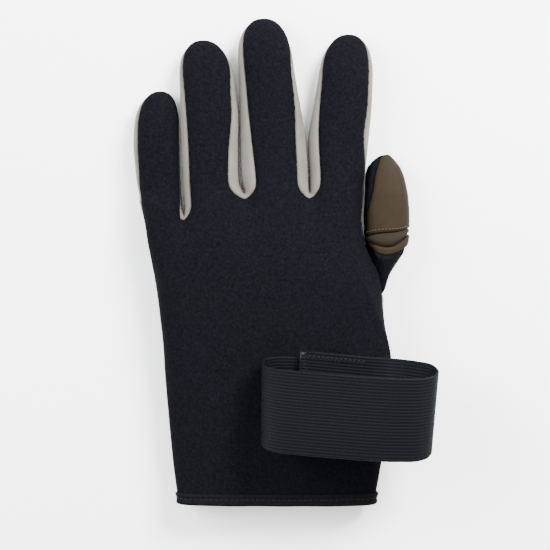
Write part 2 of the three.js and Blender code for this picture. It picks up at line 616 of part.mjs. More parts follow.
// One panel of the skin, with its wall, drawn back from its edges by half a seam gap.
function panelGeometry(panel, wall) {
  const faces = skin.faces.filter((face) => face.panel === panel);
  const places = new Map();
  for (const face of faces) {
    for (const corner of face.corners) if (!places.has(corner)) places.set(corner, places.size);
  }
  const inward = new Map();
  const tangents = new Map();
  const halfEdges = new Set();
  for (const face of faces) {
    face.corners.forEach((from, place) => halfEdges.add(`${from}_${face.corners[(place + 1) % face.corners.length]}`));
  }
  for (const face of faces) {
    const centre = new THREE.Vector3();
    for (const corner of face.corners) centre.add(skin.points[corner]);
    centre.divideScalar(face.corners.length);
    for (const corner of face.corners) {
      if (!inward.has(corner)) inward.set(corner, new THREE.Vector3());
      inward.get(corner).add(centre.clone().sub(skin.points[corner]).normalize());
    }
    face.corners.forEach((from, place) => {
      const to = face.corners[(place + 1) % face.corners.length];
      if (halfEdges.has(`${to}_${from}`)) return;
      const edge = skin.points[to].clone().sub(skin.points[from]).normalize();
      for (const corner of [from, to]) {
        if (!tangents.has(corner)) tangents.set(corner, new THREE.Vector3());
        tangents.get(corner).add(edge);
      }
    });
  }
  const outer = [];
  const inner = [];
  for (const corner of places.keys()) {
    const point = skin.points[corner].clone();
    const normal = skinNormals[corner];
    if (tangents.has(corner)) {
      const away = inward.get(corner).clone();
      for (const axis of [normal, tangents.get(corner).clone().normalize()]) {
        away.addScaledVector(axis, -away.dot(axis));
      }
      point.addScaledVector(away.normalize(), seamGap / 2);
      point.z = Math.max(point.z, 0);
    }
    outer.push(point);
    inner.push(point.clone().addScaledVector(normal, -wall));
  }
  const local = faces.map((face) => face.corners.map((corner) => places.get(corner)));
  return closedGeometry(outer, inner, local, [...places.keys()]);
}

// A closed solid from a grid of outer points and a matching grid of inner points.
function gridGeometry(outerRows, innerRows, closed) {
  const width = outerRows[0].length;
  const faces = [];
  for (let row = 0; row < outerRows.length - 1; row += 1) {
    for (let column = 0; column < (closed ? width : width - 1); column += 1) {
      const next = (column + 1) % width;
      const low = row * width;
      faces.push([low + column, low + next, low + width + next, low + width + column]);
    }
  }
  return closedGeometry(outerRows.flat(), innerRows.flat(), faces);
}

// The layer under the thumb's slit: it runs from below the lip to well inside the cap.
function underlapGeometry() {
  const depths = [suedeWall + 2 * seamGap, 2 * suedeWall + 2 * seamGap];
  const between = (row, share) => {
    const blended = { ...thumbRows[row] };
    for (const column of Object.keys(blended)) {
      blended[column] = mix(thumbRows[row][column], thumbRows[row + 1][column], share);
    }
    return blended;
  };
  const rows = [between(lipRow, 0.7), thumbRows[slitRow], thumbRows[hemRow], between(hemRow, underlapReach)];
  const layers = depths.map((depth) => rows.map((row) => {
    const points = [];
    for (let column = 0; column <= thumbInnerStart; column += 1) {
      const inset = THREE.MathUtils.clamp(column, underlapInset, thumbInnerStart - underlapInset);
      points.push(thumbPoint(row, inset, depth));
    }
    return points;
  }));
  return gridGeometry(layers[0], layers[1], false);
}

// The folded tape round the cuff: a U section whose legs lie outside and inside the wall.
function bindingGeometry() {
  const outside = seamGap;
  const inside = -neopreneWall - seamGap;
  const steps = [
    { y: bindingWidth, out: outside + bindingTape },
    { y: 0, out: outside + bindingTape },
    { y: 0, out: inside - bindingTape },
    { y: bindingWidth, out: inside - bindingTape },
    { y: bindingWidth, out: inside },
    { y: bindingTape, out: inside },
    { y: bindingTape, out: outside },
    { y: bindingWidth, out: outside },
  ];
  const base = handRings[0].map((corner, column) => {
    const point = skin.points[corner];
    const further = skin.points[handRings[1][column]];
    const slope = further.clone().sub(point).divideScalar(further.y - point.y);
    return { point, slope, normal: skinNormals[corner] };
  });
  const indices = [];
  const positions = [];
  for (const { point, slope, normal } of base) {
    const away = new THREE.Vector3(normal.x, 0, normal.z).normalize();
    for (const step of steps) {
      const place = point.clone().addScaledVector(slope, step.y - point.y).addScaledVector(away, step.out);
      positions.push(place.x, place.y, place.z);
    }
  }
  const size = steps.length;
  base.forEach((place, column) => {
    const next = (column + 1) % base.length;
    for (let step = 0; step < size; step += 1) {
      const after = (step + 1) % size;
      const a = column * size + step;
      const b = column * size + after;
      const c = next * size + after;
      const d = next * size + step;
      indices.push(a, b, c, a, c, d);
    }
  });
  const geometry = new THREE.BufferGeometry();
  geometry.setAttribute('position', new THREE.Float32BufferAttribute(positions, 3));
  geometry.setIndex(indices);
  return geometry;
}

// The strap's own directions in plan
const strapAlong = new THREE.Vector3(Math.cos(degrees(strapTurn)), Math.sin(degrees(strapTurn)), 0);
const strapAcross = new THREE.Vector3(-strapAlong.y, strapAlong.x, 0);
const strapBase = backHeight(strapFoldX + strapSpan / 4, strapMiddleY);

// Middle of the webbing's thickness at a row, for a share across it from the cuff side.
function strapMiddle(row, share) {
  const across = (share - 0.5) * strapWidth + row.skew * strapWidth;
  const along = row.along * strapSpan + row.splay * strapWidth * (1 - share);
  const point = new THREE.Vector3(strapFoldX, strapMiddleY, 0);
  point.addScaledVector(strapAlong, along).addScaledVector(strapAcross, across);
  const stack = row.layer * (strapThickness + patchThickness + 2 * seamGap);
  const ground = row.follow > 0 ? mix(strapBase, backHeight(point.x, point.y), row.follow) : strapBase;
  point.z = ground + seamGap + strapThickness / 2 + stack + row.rise * strapRise;
  return point;
}

function strapGeometry() {
  const curves = [];
  for (let column = 0; column <= strapColumns; column += 1) {
    const share = column / strapColumns;
    curves.push(new THREE.CatmullRomCurve3(strapRows.map((row) => strapMiddle(row, share))));
  }
  const steps = 2 * (strapRows.length - 1);
  const outerRows = [];
  const innerRows = [];
  for (let step = 0; step <= steps; step += 1) {
    const outer = [];
    const inner = [];
    for (const curve of curves) {
      const point = curve.getPoint(step / steps);
      const side = strapAcross.clone();
      const normal = side.cross(curve.getTangent(step / steps)).normalize();
      outer.push(point.clone().addScaledVector(normal, strapThickness / 2));
      inner.push(point.clone().addScaledVector(normal, -strapThickness / 2));
    }
    outerRows.push(outer);
    innerRows.push(inner);
  }
  return gridGeometry(outerRows, innerRows, false);
}

// The hook tape under the strap's free end, as wide as the webbing.
function patchGeometry() {
  const end = strapRows[strapRows.length - 1];
  const rows = [0, 0.25, 0.5, 0.75, 1].map((share) => {
    return { ...end, along: end.along + share * patchLength / strapSpan };
  });
  const layer = (height) => rows.map((row) => {
    const points = [];
    for (let column = 0; column <= strapColumns; column += 1) {
      const point = strapMiddle(row, column / strapColumns);
      point.z += height - strapThickness / 2 - seamGap;
      points.push(point);
    }
    return points;
  });
  return gridGeometry(layer(0).map((row) => row.reverse()), layer(-patchThickness).map((row) => row.reverse()), false);
}

// Materials
const blackNeoprene = { color: 0x17181f, roughness: 0.86, metalness: 0 };
const tanSuede = { color: 0x8d8474, roughness: 0.93, metalness: 0 };
const brownSuede = { color: 0x6e5f4b, roughness: 0.93, metalness: 0 };
const darkSuede = { color: 0x5d4d3f, roughness: 0.95, metalness: 0 };
const blackTape = { color: 0x101114, roughness: 0.75, metalness: 0 };
const ribbedElastic = { color: 0x1c1f22, roughness: 0.7, metalness: 0 };
const hookTape = { color: 0x0d0e10, roughness: 0.6, metalness: 0 };

function makePiece(name, geometry, finish) {
  geometry.computeVertexNormals();
  const piece = new THREE.Mesh(geometry, new THREE.MeshStandardMaterial(finish));
  piece.name = name;
  return piece;
}

const glove = new THREE.Group();
glove.add(makePiece('back_panel', panelGeometry('back_panel', neopreneWall), blackNeoprene));
glove.add(makePiece('wrist_panel', panelGeometry('wrist_panel', neopreneWall), blackNeoprene));
glove.add(makePiece('palm_panel', panelGeometry('palm_panel', suedeWall), tanSuede));
for (const crotch of crotches) {
  const name = `${crotch.name}_gusset`;
  glove.add(makePiece(name, panelGeometry(name, suedeWall), tanSuede));
}
glove.add(makePiece('thumb_shell', panelGeometry('thumb_shell', neopreneWall), blackNeoprene));
glove.add(makePiece('thumb_lip', panelGeometry('thumb_lip', suedeWall), brownSuede));
glove.add(makePiece('thumb_cap', panelGeometry('thumb_cap', suedeWall), brownSuede));
glove.add(makePiece('thumb_underlap', underlapGeometry(), darkSuede));
glove.add(makePiece('cuff_binding', bindingGeometry(), blackTape));
glove.add(makePiece('wrist_strap', strapGeometry(), ribbedElastic));
glove.add(makePiece('hook_patch', patchGeometry(), hookTape));

// The origin is the middle of the underside of the glove's box
const box = new THREE.Box3().setFromObject(glove);
const middle = box.getCenter(new THREE.Vector3());
glove.position.set(-middle.x, -middle.y, -box.min.z);

export default glove;
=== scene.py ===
"""A left-hand neoprene fishing glove that lies palm down, dressed round its packed solids.

Lengths are metres. +X is the thumb side, +Y the fingertips and +Z the back of the hand.
"""

import logging
import math
from collections.abc import Callable
from dataclasses import dataclass, field
from enum import Enum

import bpy
import numpy as np
from mathutils import Matrix, Vector, noise
from mathutils.kdtree import KDTree


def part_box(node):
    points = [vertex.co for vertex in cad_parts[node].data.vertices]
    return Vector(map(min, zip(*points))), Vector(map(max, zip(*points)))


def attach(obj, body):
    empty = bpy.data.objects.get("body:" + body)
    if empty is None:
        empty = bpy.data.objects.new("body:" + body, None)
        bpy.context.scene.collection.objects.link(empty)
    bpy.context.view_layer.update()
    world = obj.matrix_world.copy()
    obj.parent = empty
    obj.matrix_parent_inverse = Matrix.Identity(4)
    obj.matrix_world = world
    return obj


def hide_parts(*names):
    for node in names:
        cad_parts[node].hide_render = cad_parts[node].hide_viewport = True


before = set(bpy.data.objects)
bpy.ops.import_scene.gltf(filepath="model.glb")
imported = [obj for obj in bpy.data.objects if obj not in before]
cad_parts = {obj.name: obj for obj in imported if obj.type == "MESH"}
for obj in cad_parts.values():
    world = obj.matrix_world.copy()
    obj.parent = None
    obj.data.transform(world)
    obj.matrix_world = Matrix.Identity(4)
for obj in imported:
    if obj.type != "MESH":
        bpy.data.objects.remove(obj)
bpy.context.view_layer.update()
log = logging.getLogger("glove")

LITTLE_FINGER_EDGE_X = -0.0682  # the little finger's outer edge, from the hand's middle line
MIDDLE_LINE_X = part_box("palm_panel")[0].x - LITTLE_FINGER_EDGE_X
CUFF_EDGE_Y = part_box("cuff_binding")[0].y
SEAM_GAP = 0.0003               # space between two pieces that meet at a seam
NEOPRENE_WALL = 0.0026
SUEDE_WALL = 0.0016
TINY = 1e-12                    # keeps a length of nought out of a division


# Numbers and interpolation

def mix(start: float, end: float, share: float) -> float:
    """Returns the value a share of the way from start to end."""
    return start + (end - start) * share


def clamp(value: float, low: float, high: float) -> float:
    """Returns the value, kept between low and high."""
    return max(low, min(high, value))


def smooth_share(value: float, start: float, end: float) -> float:
    """Returns how far the value is from start to end, eased in and out."""
    share = clamp((value - start) / (end - start), 0, 1)
    return share * share * (3 - 2 * share)


def powered(value: float, power: float) -> float:
    """Returns the value raised to a power, with its sign kept."""
    return math.copysign(abs(value) ** power, value)


def hermite(share: float | np.ndarray, span: float | np.ndarray, start: float | np.ndarray,
            end: float | np.ndarray, slopes: tuple) -> float | np.ndarray:
    """Returns the value of a smooth curve between two known places.

    Args:
        share: Share of the way between them.
        span: Distance between them.
        start: Value at the first.
        end: Value at the second.
        slopes: Slopes at both.

    Returns:
        The value, as a number or an array like what goes in.
    """
    square, cube = share ** 2, share ** 3
    return (
        (2 * cube - 3 * square + 1) * start
        + (cube - 2 * square + share) * span * slopes[0]
        + (3 * square - 2 * cube) * end
        + (cube - square) * span * slopes[1]
    )


def read_rows(rows: tuple, column: str, at: float) -> float:
    """Reads a smooth curve through one column of a table of rows.

    Args:
        rows: Rows with an `at` value that rises from row to row.
        column: Name of the column to read.
        at: Place between the first and the last row.

    Returns:
        The column's value at that place.
    """
    last = len(rows) - 1
    place = clamp(at, rows[0].at, rows[last].at)
    row = 0
    while row < last - 1 and rows[row + 1].at < place:
        row += 1

    def slope(index: int) -> float:
        """Returns the column's slope at one row."""
        before, after = rows[max(index - 1, 0)], rows[min(index + 1, last)]
        return (getattr(after, column) - getattr(before, column)) / (after.at - before.at)

    start, end = rows[row], rows[row + 1]
    span = end.at - start.at
    share = (place - start.at) / span
    return hermite(share, span, getattr(start, column), getattr(end, column), (slope(row), slope(row + 1)))


class Panel(Enum):
    """The cloth panels that the glove's skin is sewn from."""

    BACK = "back_panel"
    WRIST = "wrist_panel"
    PALM = "palm_panel"
    LITTLE_RING = "little_ring_gusset"
    RING_MIDDLE = "ring_middle_gusset"
    MIDDLE_INDEX = "middle_index_gusset"
    THUMB_SHELL = "thumb_shell"
    THUMB_LIP = "thumb_lip"
    THUMB_CAP = "thumb_cap"


@dataclass(frozen=True)
class HandRow:
    """One section of the hand.

    `at` is a share of the palm's length, `left` and `right` of its width and `height` of its height.
    `full` is 1 for an ellipse and less for a fuller section. The flat underside starts `corner`
    degrees below the widest line, and the seams are degrees above it.
    """

    at: float
    left: float
    right: float
    height: float
    full: float
    corner: float
    seam_left: float
    seam_right: float


@dataclass(frozen=True)
class FingerRow:
    """One section of a finger: `at` is a share of its length, the others of its width and height."""

    at: float
    shift: float
    width: float
    height: float
    seam_left: float
    seam_right: float


@dataclass(frozen=True)
class Finger:
    """A finger's size, its root and tip in plan, and its sections."""

    width: float
    height: float
    root: tuple
    tip: tuple
    tip_round: float
    rows: tuple


@dataclass(frozen=True)
class ThumbRow:
    """One section of the thumb, in shares of its width and length; `seam` is degrees."""

    inner: float
    inner_y: float
    mid_y: float
    outer: float
    outer_y: float
    height: float
    seam: float


@dataclass(frozen=True)
class Crotch:
    """The place where the back's seam turns between two fingers."""

    panel: Panel
    x: float
    y: float


@dataclass(frozen=True)
class Dent:
    """A low dent of the hand's back, in shares of the palm; a negative depth is a swell."""

    x: float
    y: float
    spread_x: float
    spread_y: float
    depth: float


HAND_ROWS = (
    HandRow(0.000, -0.404, 0.464, 0.78, 0.74, 50, -24, -24),
    HandRow(0.138, -0.432, 0.498, 0.80, 0.76, 50, -24, -24),
    HandRow(0.275, -0.451, 0.520, 0.84, 0.78, 50, -24, -24),
    HandRow(0.420, -0.467, 0.540, 0.90, 0.80, 50, -24, -22),
    HandRow(0.518, -0.474, 0.534, 0.95, 0.80, 50, -24, -18),
    HandRow(0.600, -0.486, 0.518, 0.99, 0.80, 50, -24, -10),
    HandRow(0.705, -0.503, 0.504, 1.00, 0.80, 50, -24, 3),
    HandRow(0.765, -0.517, 0.484, 0.98, 0.78, 50, -22, 4),
    HandRow(0.836, -0.541, 0.441, 0.93, 0.72, 48, -18, -5),
    HandRow(0.918, -0.564, 0.420, 0.86, 0.62, 42, -8, -12),
    HandRow(1.000, -0.582, 0.422, 0.79, 0.54, 36, 8, -8),
    HandRow(1.082, -0.598, 0.429, 0.74, 0.50, 34, 26, -6),
)

# From the little finger to the index finger
FINGERS = (
    Finger(0.023, 0.0145, (-0.05375, 0.142), (-0.055, 0.2062), 0.0195, (
        FingerRow(0.00, 0.000, 0.87, 1.22, -6, 20),
        FingerRow(0.15, -0.041, 0.91, 1.12, 8, 8),
        FingerRow(0.35, -0.098, 0.955, 1.03, 28, 4),
        FingerRow(0.55, -0.135, 1.00, 1.00, 35, 2),
        FingerRow(0.70, -0.137, 0.985, 0.97, 33, 0),
        FingerRow(0.87, -0.100, 0.98, 0.92, 22, -4),
        FingerRow(1.00, -0.054, 0.98, 0.90, -8, -10),
    )),
    Finger(0.0295, 0.0165, (-0.0283, 0.147), (-0.0335, 0.2316), 0.0225, (
        FingerRow(0.00, 0.000, 0.965, 1.18, 40, 50),
        FingerRow(0.15, -0.037, 0.955, 1.10, 41, 52),
        FingerRow(0.35, -0.056, 0.970, 1.03, 42, 49),
        FingerRow(0.55, -0.070, 1.000, 1.00, 40, 39),
        FingerRow(0.73, -0.100, 0.935, 0.95, 29, 30),
        FingerRow(0.87, -0.140, 0.930, 0.90, 20, 8),
        FingerRow(1.00, -0.176, 0.930, 0.88, -8, -10),
    )),
    Finger(0.033, 0.017, (0.0031, 0.1525), (-0.00325, 0.2426), 0.0236, (
        FingerRow(0.00, 0.000, 0.985, 1.18, 56, 49),
        FingerRow(0.15, -0.027, 1.020, 1.10, 57, 49),
        FingerRow(0.35, -0.056, 0.985, 1.03, 50, 46),
        FingerRow(0.55, -0.101, 0.900, 1.00, 41, 30),
        FingerRow(0.74, -0.154, 0.848, 0.95, 37, 20),
        FingerRow(0.87, -0.178, 0.848, 0.90, 28, -2),
        FingerRow(1.00, -0.192, 0.848, 0.87, -8, -10),
    )),
    Finger(0.030, 0.0165, (0.0335, 0.1527), (0.0393, 0.2349), 0.0234, (
        FingerRow(0.00, 0.000, 0.900, 1.18, 51, -5),
        FingerRow(0.15, 0.010, 0.932, 1.10, 51, 1),
        FingerRow(0.35, 0.028, 1.003, 1.03, 48, 32),
        FingerRow(0.55, 0.093, 0.972, 1.00, 36, 29),
        FingerRow(0.72, 0.142, 0.917, 0.95, 26, 29),
        FingerRow(0.87, 0.170, 0.910, 0.90, 10, 24),
        FingerRow(1.00, 0.193, 0.910, 0.88, -8, -5),
    )),
)

CROTCHES = (
    Crotch(Panel.LITTLE_RING, -0.0430, 0.1420),
    Crotch(Panel.RING_MIDDLE, -0.0126, 0.1525),
    Crotch(Panel.MIDDLE_INDEX, 0.0197, 0.1527),
)

BACK_DENTS = (
    Dent(-0.06, 0.33, 0.10, 0.30, 0.060),
    Dent(0.05, 0.60, 0.16, 0.16, 0.030),
    Dent(0.33, 0.30, 0.12, 0.30, -0.030),
    Dent(-0.36, 0.45, 0.08, 0.35, -0.025),
)

THUMB_ROWS = (
    ThumbRow(0.050, 0.010, -0.170, 0.530, -0.260, 1.10, 150),
    ThumbRow(-0.035, 0.005, -0.108, 0.860, -0.035, 1.05, 160),
    ThumbRow(-0.060, 0.030, -0.038, 0.920, 0.100, 1.03, 163),
    ThumbRow(-0.092, 0.100, 0.140, 0.920, 0.188, 1.00, 165),
    ThumbRow(-0.100, 0.354, 0.354, 0.920, 0.354, 0.97, 152),
    ThumbRow(-0.080, 0.545, 0.545, 0.885, 0.545, 0.90, 131),
    ThumbRow(-0.060, 0.710, 0.720, 0.810, 0.710, 0.78, 122),
    ThumbRow(-0.005, 0.815, 0.828, 0.725, 0.810, 0.66, 115),
    ThumbRow(0.140, 0.893, 0.915, 0.590, 0.893, 0.42, 115),
)


@dataclass
class HandForm:
    """The hand's outline and surface, worked out in plan from the cuff edge and the middle line."""

    length: float = 0.1525
    width: float = 0.112
    height: float = 0.026
    widest_share: float = 0.42
    flat_factor: float = 1.25
    valley_depth: float = 0.0032
    valley_reach: float = 0.024
    valley_spread: float = 0.006
    binding_width: float = 0.0058
    binding_tape: float = 0.0008
    binding_margin: float = 0.001    # bare cloth past the tape before the cuff comes down

    def section_height(self, height: float, sine: float, fullness: float, roundness: float = 1) -> float:
        """Height of a section above its underside.

        Args:
            height: Height of the whole section.
            sine: Sine of the direction that is asked for.
            fullness: 1 for an ellipse, less for a fuller section.
            roundness: Below 1 inside a rounded tip.

        Returns:
            The height in metres.
        """
        widest = self.widest_share * height
        if sine >= 0:
            return widest + roundness * (height - widest) * sine ** fullness
        return widest - roundness * widest * min(1, self.flat_factor * abs(sine) ** fullness)

    def section(self, y: float) -> HandRow:
        """Returns the hand's section at y, with left, right and height in metres."""
        at = y / self.length
        return HandRow(
            at=at,
            left=read_rows(HAND_ROWS, "left", at) * self.width,
            right=read_rows(HAND_ROWS, "right", at) * self.width,
            height=read_rows(HAND_ROWS, "height", at) * self.height,
            full=read_rows(HAND_ROWS, "full", at),
            corner=read_rows(HAND_ROWS, "corner", at),
            seam_left=read_rows(HAND_ROWS, "seam_left", at),
            seam_right=read_rows(HAND_ROWS, "seam_right", at),
        )

    def cuff_lift(self, y: float) -> float:
        """Returns how far the cuff's underside stands off the ground, which leaves room for its tape."""
        come_down = smooth_share(y, self.binding_width + self.binding_margin, 3 * self.binding_width)
        return (self.binding_tape + SEAM_GAP) * (1 - come_down)

    def back_relief(self, x: float, y: float) -> float:
        """Returns the height of the back's dents, swells and crotch grooves at a place in plan."""
        relief = 0.0
        for dent in BACK_DENTS:
            across = (x / self.width - dent.x) / dent.spread_x
            along = (y / self.length - dent.y) / dent.spread_y
            relief -= dent.depth * self.height * math.exp(-across ** 2 - along ** 2)
        for crotch in CROTCHES:
            across = (x - crotch.x) / self.valley_spread
            reach = smooth_share(y, crotch.y - self.valley_reach, crotch.y)
            relief -= self.valley_depth * math.exp(-across ** 2) * reach
        return relief

    def point(self, angle: float, y: float) -> Vector:
        """Returns the surface's point in a direction, in degrees, of the section at y."""
        section = self.section(y)
        sine = math.sin(math.radians(angle))
        middle, half = (section.left + section.right) / 2, (section.right - section.left) / 2
        x = middle + half * powered(math.cos(math.radians(angle)), section.full)
        z = self.cuff_lift(y) * (1 - max(sine, 0)) + self.section_height(section.height, sine, section.full)
        if sine > 0:
            z += self.back_relief(x, y) * math.sqrt(sine)
        return Vector((x, y, z))

    def angle(self, x: float, y: float, side: int) -> float:
        """Returns the direction of the point at x, on the upper (1) or lower (-1) side, in degrees."""
        section = self.section(y)
        share = (2 * x - section.left - section.right) / (section.right - section.left)
        return side * math.degrees(math.acos(powered(clamp(share, -1, 1), 1 / section.full)))

    def back_height(self, x: float, y: float) -> float:
        """Returns the height of the hand's back at a place in plan."""
        return self.point(self.angle(x, y, 1), y).z


# Rows at which the thumb's net has a ring, and those of a finger: shares of its shaft, then degrees
# round its tip
THUMB_RINGS = (0, 1, 2, 3, 3.5, 4, 4.5, 5, 5.5, 6, 6.5, 7, 7.5, 8)
SHAFT_RINGS = (0.03, 0.07, 0.12, 0.2, 0.3, 0.4, 0.5, 0.6, 0.7, 0.8, 0.9, 1)
TIP_RINGS = (14, 28, 41, 53, 64, 74, 82)


@dataclass
class ThumbForm:
    """The thumb's surface, tied to the hand's right edge beside the thumb's crotch."""

    hand: HandForm
    length: float = 0.048
    width: float = 0.0228
    height: float = 0.0155
    crotch_y: float = 0.129
    fullness: float = 0.9
    shoulder: float = 40             # degrees above the widest line at which the outside starts
    corner: float = 50               # degrees below it at which the flat underside starts
    top_steps: int = 5
    side_steps: int = 4
    lip_row: int = 1
    slit_row: int = 2
    hem_row: int = 3

    def __post_init__(self) -> None:
        """Finds the edge of the hand that the thumb stands on."""
        self.base_x = self.hand.point(0, self.crotch_y).x

    def angle(self, column: float, seam: float) -> float:
        """Returns the direction, in degrees, of a column: over the top, down the outside and back."""
        outer, under = self.top_steps, self.top_steps + self.side_steps
        inner = under + self.top_steps
        if column <= outer:
            return mix(seam, self.shoulder, column / self.top_steps)
        if column <= under:
            return mix(self.shoulder, -self.corner, (column - outer) / self.side_steps)
        if column <= inner:
            return mix(-self.corner, self.corner - 180, (column - under) / self.top_steps)
        return mix(self.corner - 180, seam - 360, (column - inner) / self.side_steps)

    def row(self, at: float) -> ThumbRow:
        """Returns the thumb's section at a row number, blended between its neighbours."""
        low = min(int(at), len(THUMB_ROWS) - 2)
        pairs = zip(vars(THUMB_ROWS[low]).values(), vars(THUMB_ROWS[low + 1]).values())
        return ThumbRow(*[mix(start, end, at - low) for start, end in pairs])

    def point(self, row: ThumbRow, column: float, depth: float = 0.0) -> Vector:
        """Finds a point of the thumb's surface.

        Args:
            row: The section that it lies on.
            column: Its place round the section, in columns.
            depth: How far it is sunk below the surface.

        Returns:
            The point in plan, from the middle line and the cuff edge.
        """
        angle = math.radians(self.angle(column, row.seam))
        across = powered(math.cos(angle), self.fullness)
        sine = abs(math.sin(angle)) ** self.fullness
        half = (row.outer - row.inner) / 2 * self.width - depth
        side = row.inner_y if across < 0 else row.outer_y
        share = self.hand.widest_share
        z = self.height * share * max(row.height, 1 - (1 - row.height) / 2)
        if math.sin(angle) < 0:
            z -= (share * row.height * self.height - depth) * min(1, self.hand.flat_factor * sine)
        else:
            z += ((1 - share) * row.height * self.height - depth) * sine
        x = self.base_x + (row.inner + row.outer) / 2 * self.width + half * across
        return Vector((x, self.crotch_y + mix(row.mid_y, side, across ** 2) * self.length, z))


@dataclass
class Skin:
    """The glove's skin as one net of squares, each of which names its panel."""

    hand: HandForm
    thumb: ThumbForm
    finger_columns: int = 6
    side_columns: int = 4
    wrist_line: float = 0.062
    thumb_root: float = 0.025
    little_root_y: float = 0.150
    index_root_y: float = 0.155
    crotch_blend: float = 0.009
    web_forward: float = 0.003
    crotch_height: float = 0.86
    finger_fullness: float = 0.9
    tip_fullness: float = 2.25
    corner: float = 50
    thumb_tip: tuple = (0.40, 0.965)
    wrist_rings: int = 6
    palm_rings: int = 5
    knuckle_rings: int = 4
    straight_from: float = 0.25      # station at which the columns start to line up with the fingers
    web_fade: float = 1.7            # columns over which a web's quick growth fades out
    points: list = field(default_factory=list)
    faces: list = field(default_factory=list)

    def __post_init__(self) -> None:
        """Works out where the first ring lies and at which columns its stretches start."""
        self.start_y = SEAM_GAP + self.hand.binding_tape
        self.wide = len(FINGERS) * self.finger_columns
        self.palm_start = self.wide + self.side_columns
        self.left_start = self.palm_start + self.wide

    def add(self, point: Vector) -> int:
        """Adds a point and returns its number."""
        self.points.append(point)
        return len(self.points) - 1

    def band(self, panel_of: Callable[[int], Panel | None], lower: list, upper: list) -> None:
        """Adds the squares between two closed rings.

        Args:
            panel_of: Function that gives the panel of a column, or None for an opening.
            lower: Numbers of the first ring's points.
            upper: Numbers of the second ring's points.
        """
        for column in range(len(lower)):
            follow = (column + 1) % len(lower)
            panel = panel_of(column)
            if panel:
                self.faces.append((panel, (lower[column], lower[follow], upper[follow], upper[column])))

    def stations(self) -> list:
        """Returns the hand's ring places, as shares of the way from the cuff to the index finger's root."""
        stops = [
            (self.hand.binding_width + self.hand.binding_margin, 1),
            (self.wrist_line, self.wrist_rings),
            (self.thumb.crotch_y - self.thumb_root, self.palm_rings),
            (self.thumb.crotch_y, self.thumb.top_steps),
            (self.index_root_y, self.knuckle_rings),
        ]
        shares, before = [0.0], 0.0
        for y, steps in stops:
            share = (y - self.start_y) / (self.index_root_y - self.start_y)
            shares += [mix(before, share, (step + 1) / steps) for step in range(steps)]
            before = share
        return shares

    def knuckle(self, share: float, left: float, right: float) -> tuple:
        """Returns the knuckle line's place for a share of the way between two end directions."""
        stops = [(self.hand.point(left, self.little_root_y).x, self.little_root_y)]
        stops += [(crotch.x, crotch.y) for crotch in CROTCHES]
        stops += [(self.hand.point(right, self.index_root_y).x, self.index_root_y)]
        slot = min(int(share * len(FINGERS)), len(FINGERS) - 1)
        rest = share * len(FINGERS) - slot
        return tuple(mix(stops[slot][axis], stops[slot + 1][axis], rest) for axis in (0, 1))

    def across(self, share: float, station: float, palm: bool) -> Vector:
        """Places a point across the back or the palm side.

        Args:
            share: Share of the way from the side where the rings start on that face.
            station: The ring's place, from 0 at the cuff to 1 at the knuckles.
            palm: True for the palm side, which runs from right to left.

        Returns:
            The point on the hand's surface.
        """
        def ends(section: HandRow) -> tuple:
            """Returns the directions in which the face starts and ends."""
            if palm:
                return -section.corner, section.corner - 180
            return 180 - section.seam_left, section.seam_right

        little = ends(self.hand.section(self.little_root_y))
        index = ends(self.hand.section(self.index_root_y))
        if palm:
            place = self.knuckle(1 - share, little[1], index[0])
        else:
            place = self.knuckle(share, little[0], index[1])
        y = mix(self.start_y, place[1], station)
        first, last = ends(self.hand.section(y))
        even = mix(first, last, share)
        if share in (0, 1):
            return self.hand.point(even, y)
        straight = clamp(self.hand.angle(place[0], y, -1 if palm else 1), last, first)
        return self.hand.point(mix(even, straight, smooth_share(station, self.straight_from, 1)), y)

    def hand_point(self, column: int, station: float) -> Vector:
        """Returns the point of one column of a hand ring."""
        if column <= self.wide:
            return self.across(column / self.wide, station, palm=False)
        if self.palm_start <= column <= self.left_start:
            return self.across((column - self.palm_start) / self.wide, station, palm=True)
        right = column < self.palm_start
        y = mix(self.start_y, self.index_root_y if right else self.little_root_y, station)
        section = self.hand.section(y)
        share = (column - (self.wide if right else self.left_start)) / self.side_columns
        if right:
            angle = mix(section.seam_right, -section.corner, share)
        else:
            angle = mix(section.corner - 180, -180 - section.seam_left, share)
        return self.hand.point(angle, y)

    def build_hand(self) -> None:
        """Adds the rings from the cuff to the knuckles, open where the thumb starts."""
        size = 2 * (self.wide + self.side_columns)
        wrist_station = 1 + self.wrist_rings
        self.thumb_start = wrist_station + self.palm_rings
        self.thumb_end = self.thumb_start + self.thumb.top_steps
        self.rings = [
            [self.add(self.hand_point(column, station)) for column in range(size)]
            for station in self.stations()
        ]

        def panel_of(column: int, station: int) -> Panel | None:
            """Returns the panel of one square of the hand."""
            if column < self.wide:
                return Panel.BACK
            if column < self.palm_start and self.thumb_start <= station < self.thumb_end:
                return None
            return Panel.WRIST if station < wrist_station else Panel.PALM

        for station, (lower, upper) in enumerate(zip(self.rings, self.rings[1:])):
            self.band(lambda column: panel_of(column, station), lower, upper)

    def build_webs(self) -> None:
        """Adds the lines of points that run between two fingers from the back's seam to the palm's."""
        self.webs = []
        top_ring = self.rings[-1]
        for index in range(len(CROTCHES)):
            top = top_ring[(index + 1) * self.finger_columns]
            bottom = top_ring[self.left_start - (index + 1) * self.finger_columns]
            self.points[top].z *= self.crotch_height
            inner = []
            for step in range(1, self.side_columns):
                share = step / self.side_columns
                point = self.points[top].lerp(self.points[bottom], share)
                point.y += self.web_forward * math.sin(math.pi * share)
                inner.append(self.add(point))
            self.webs.append(inner)

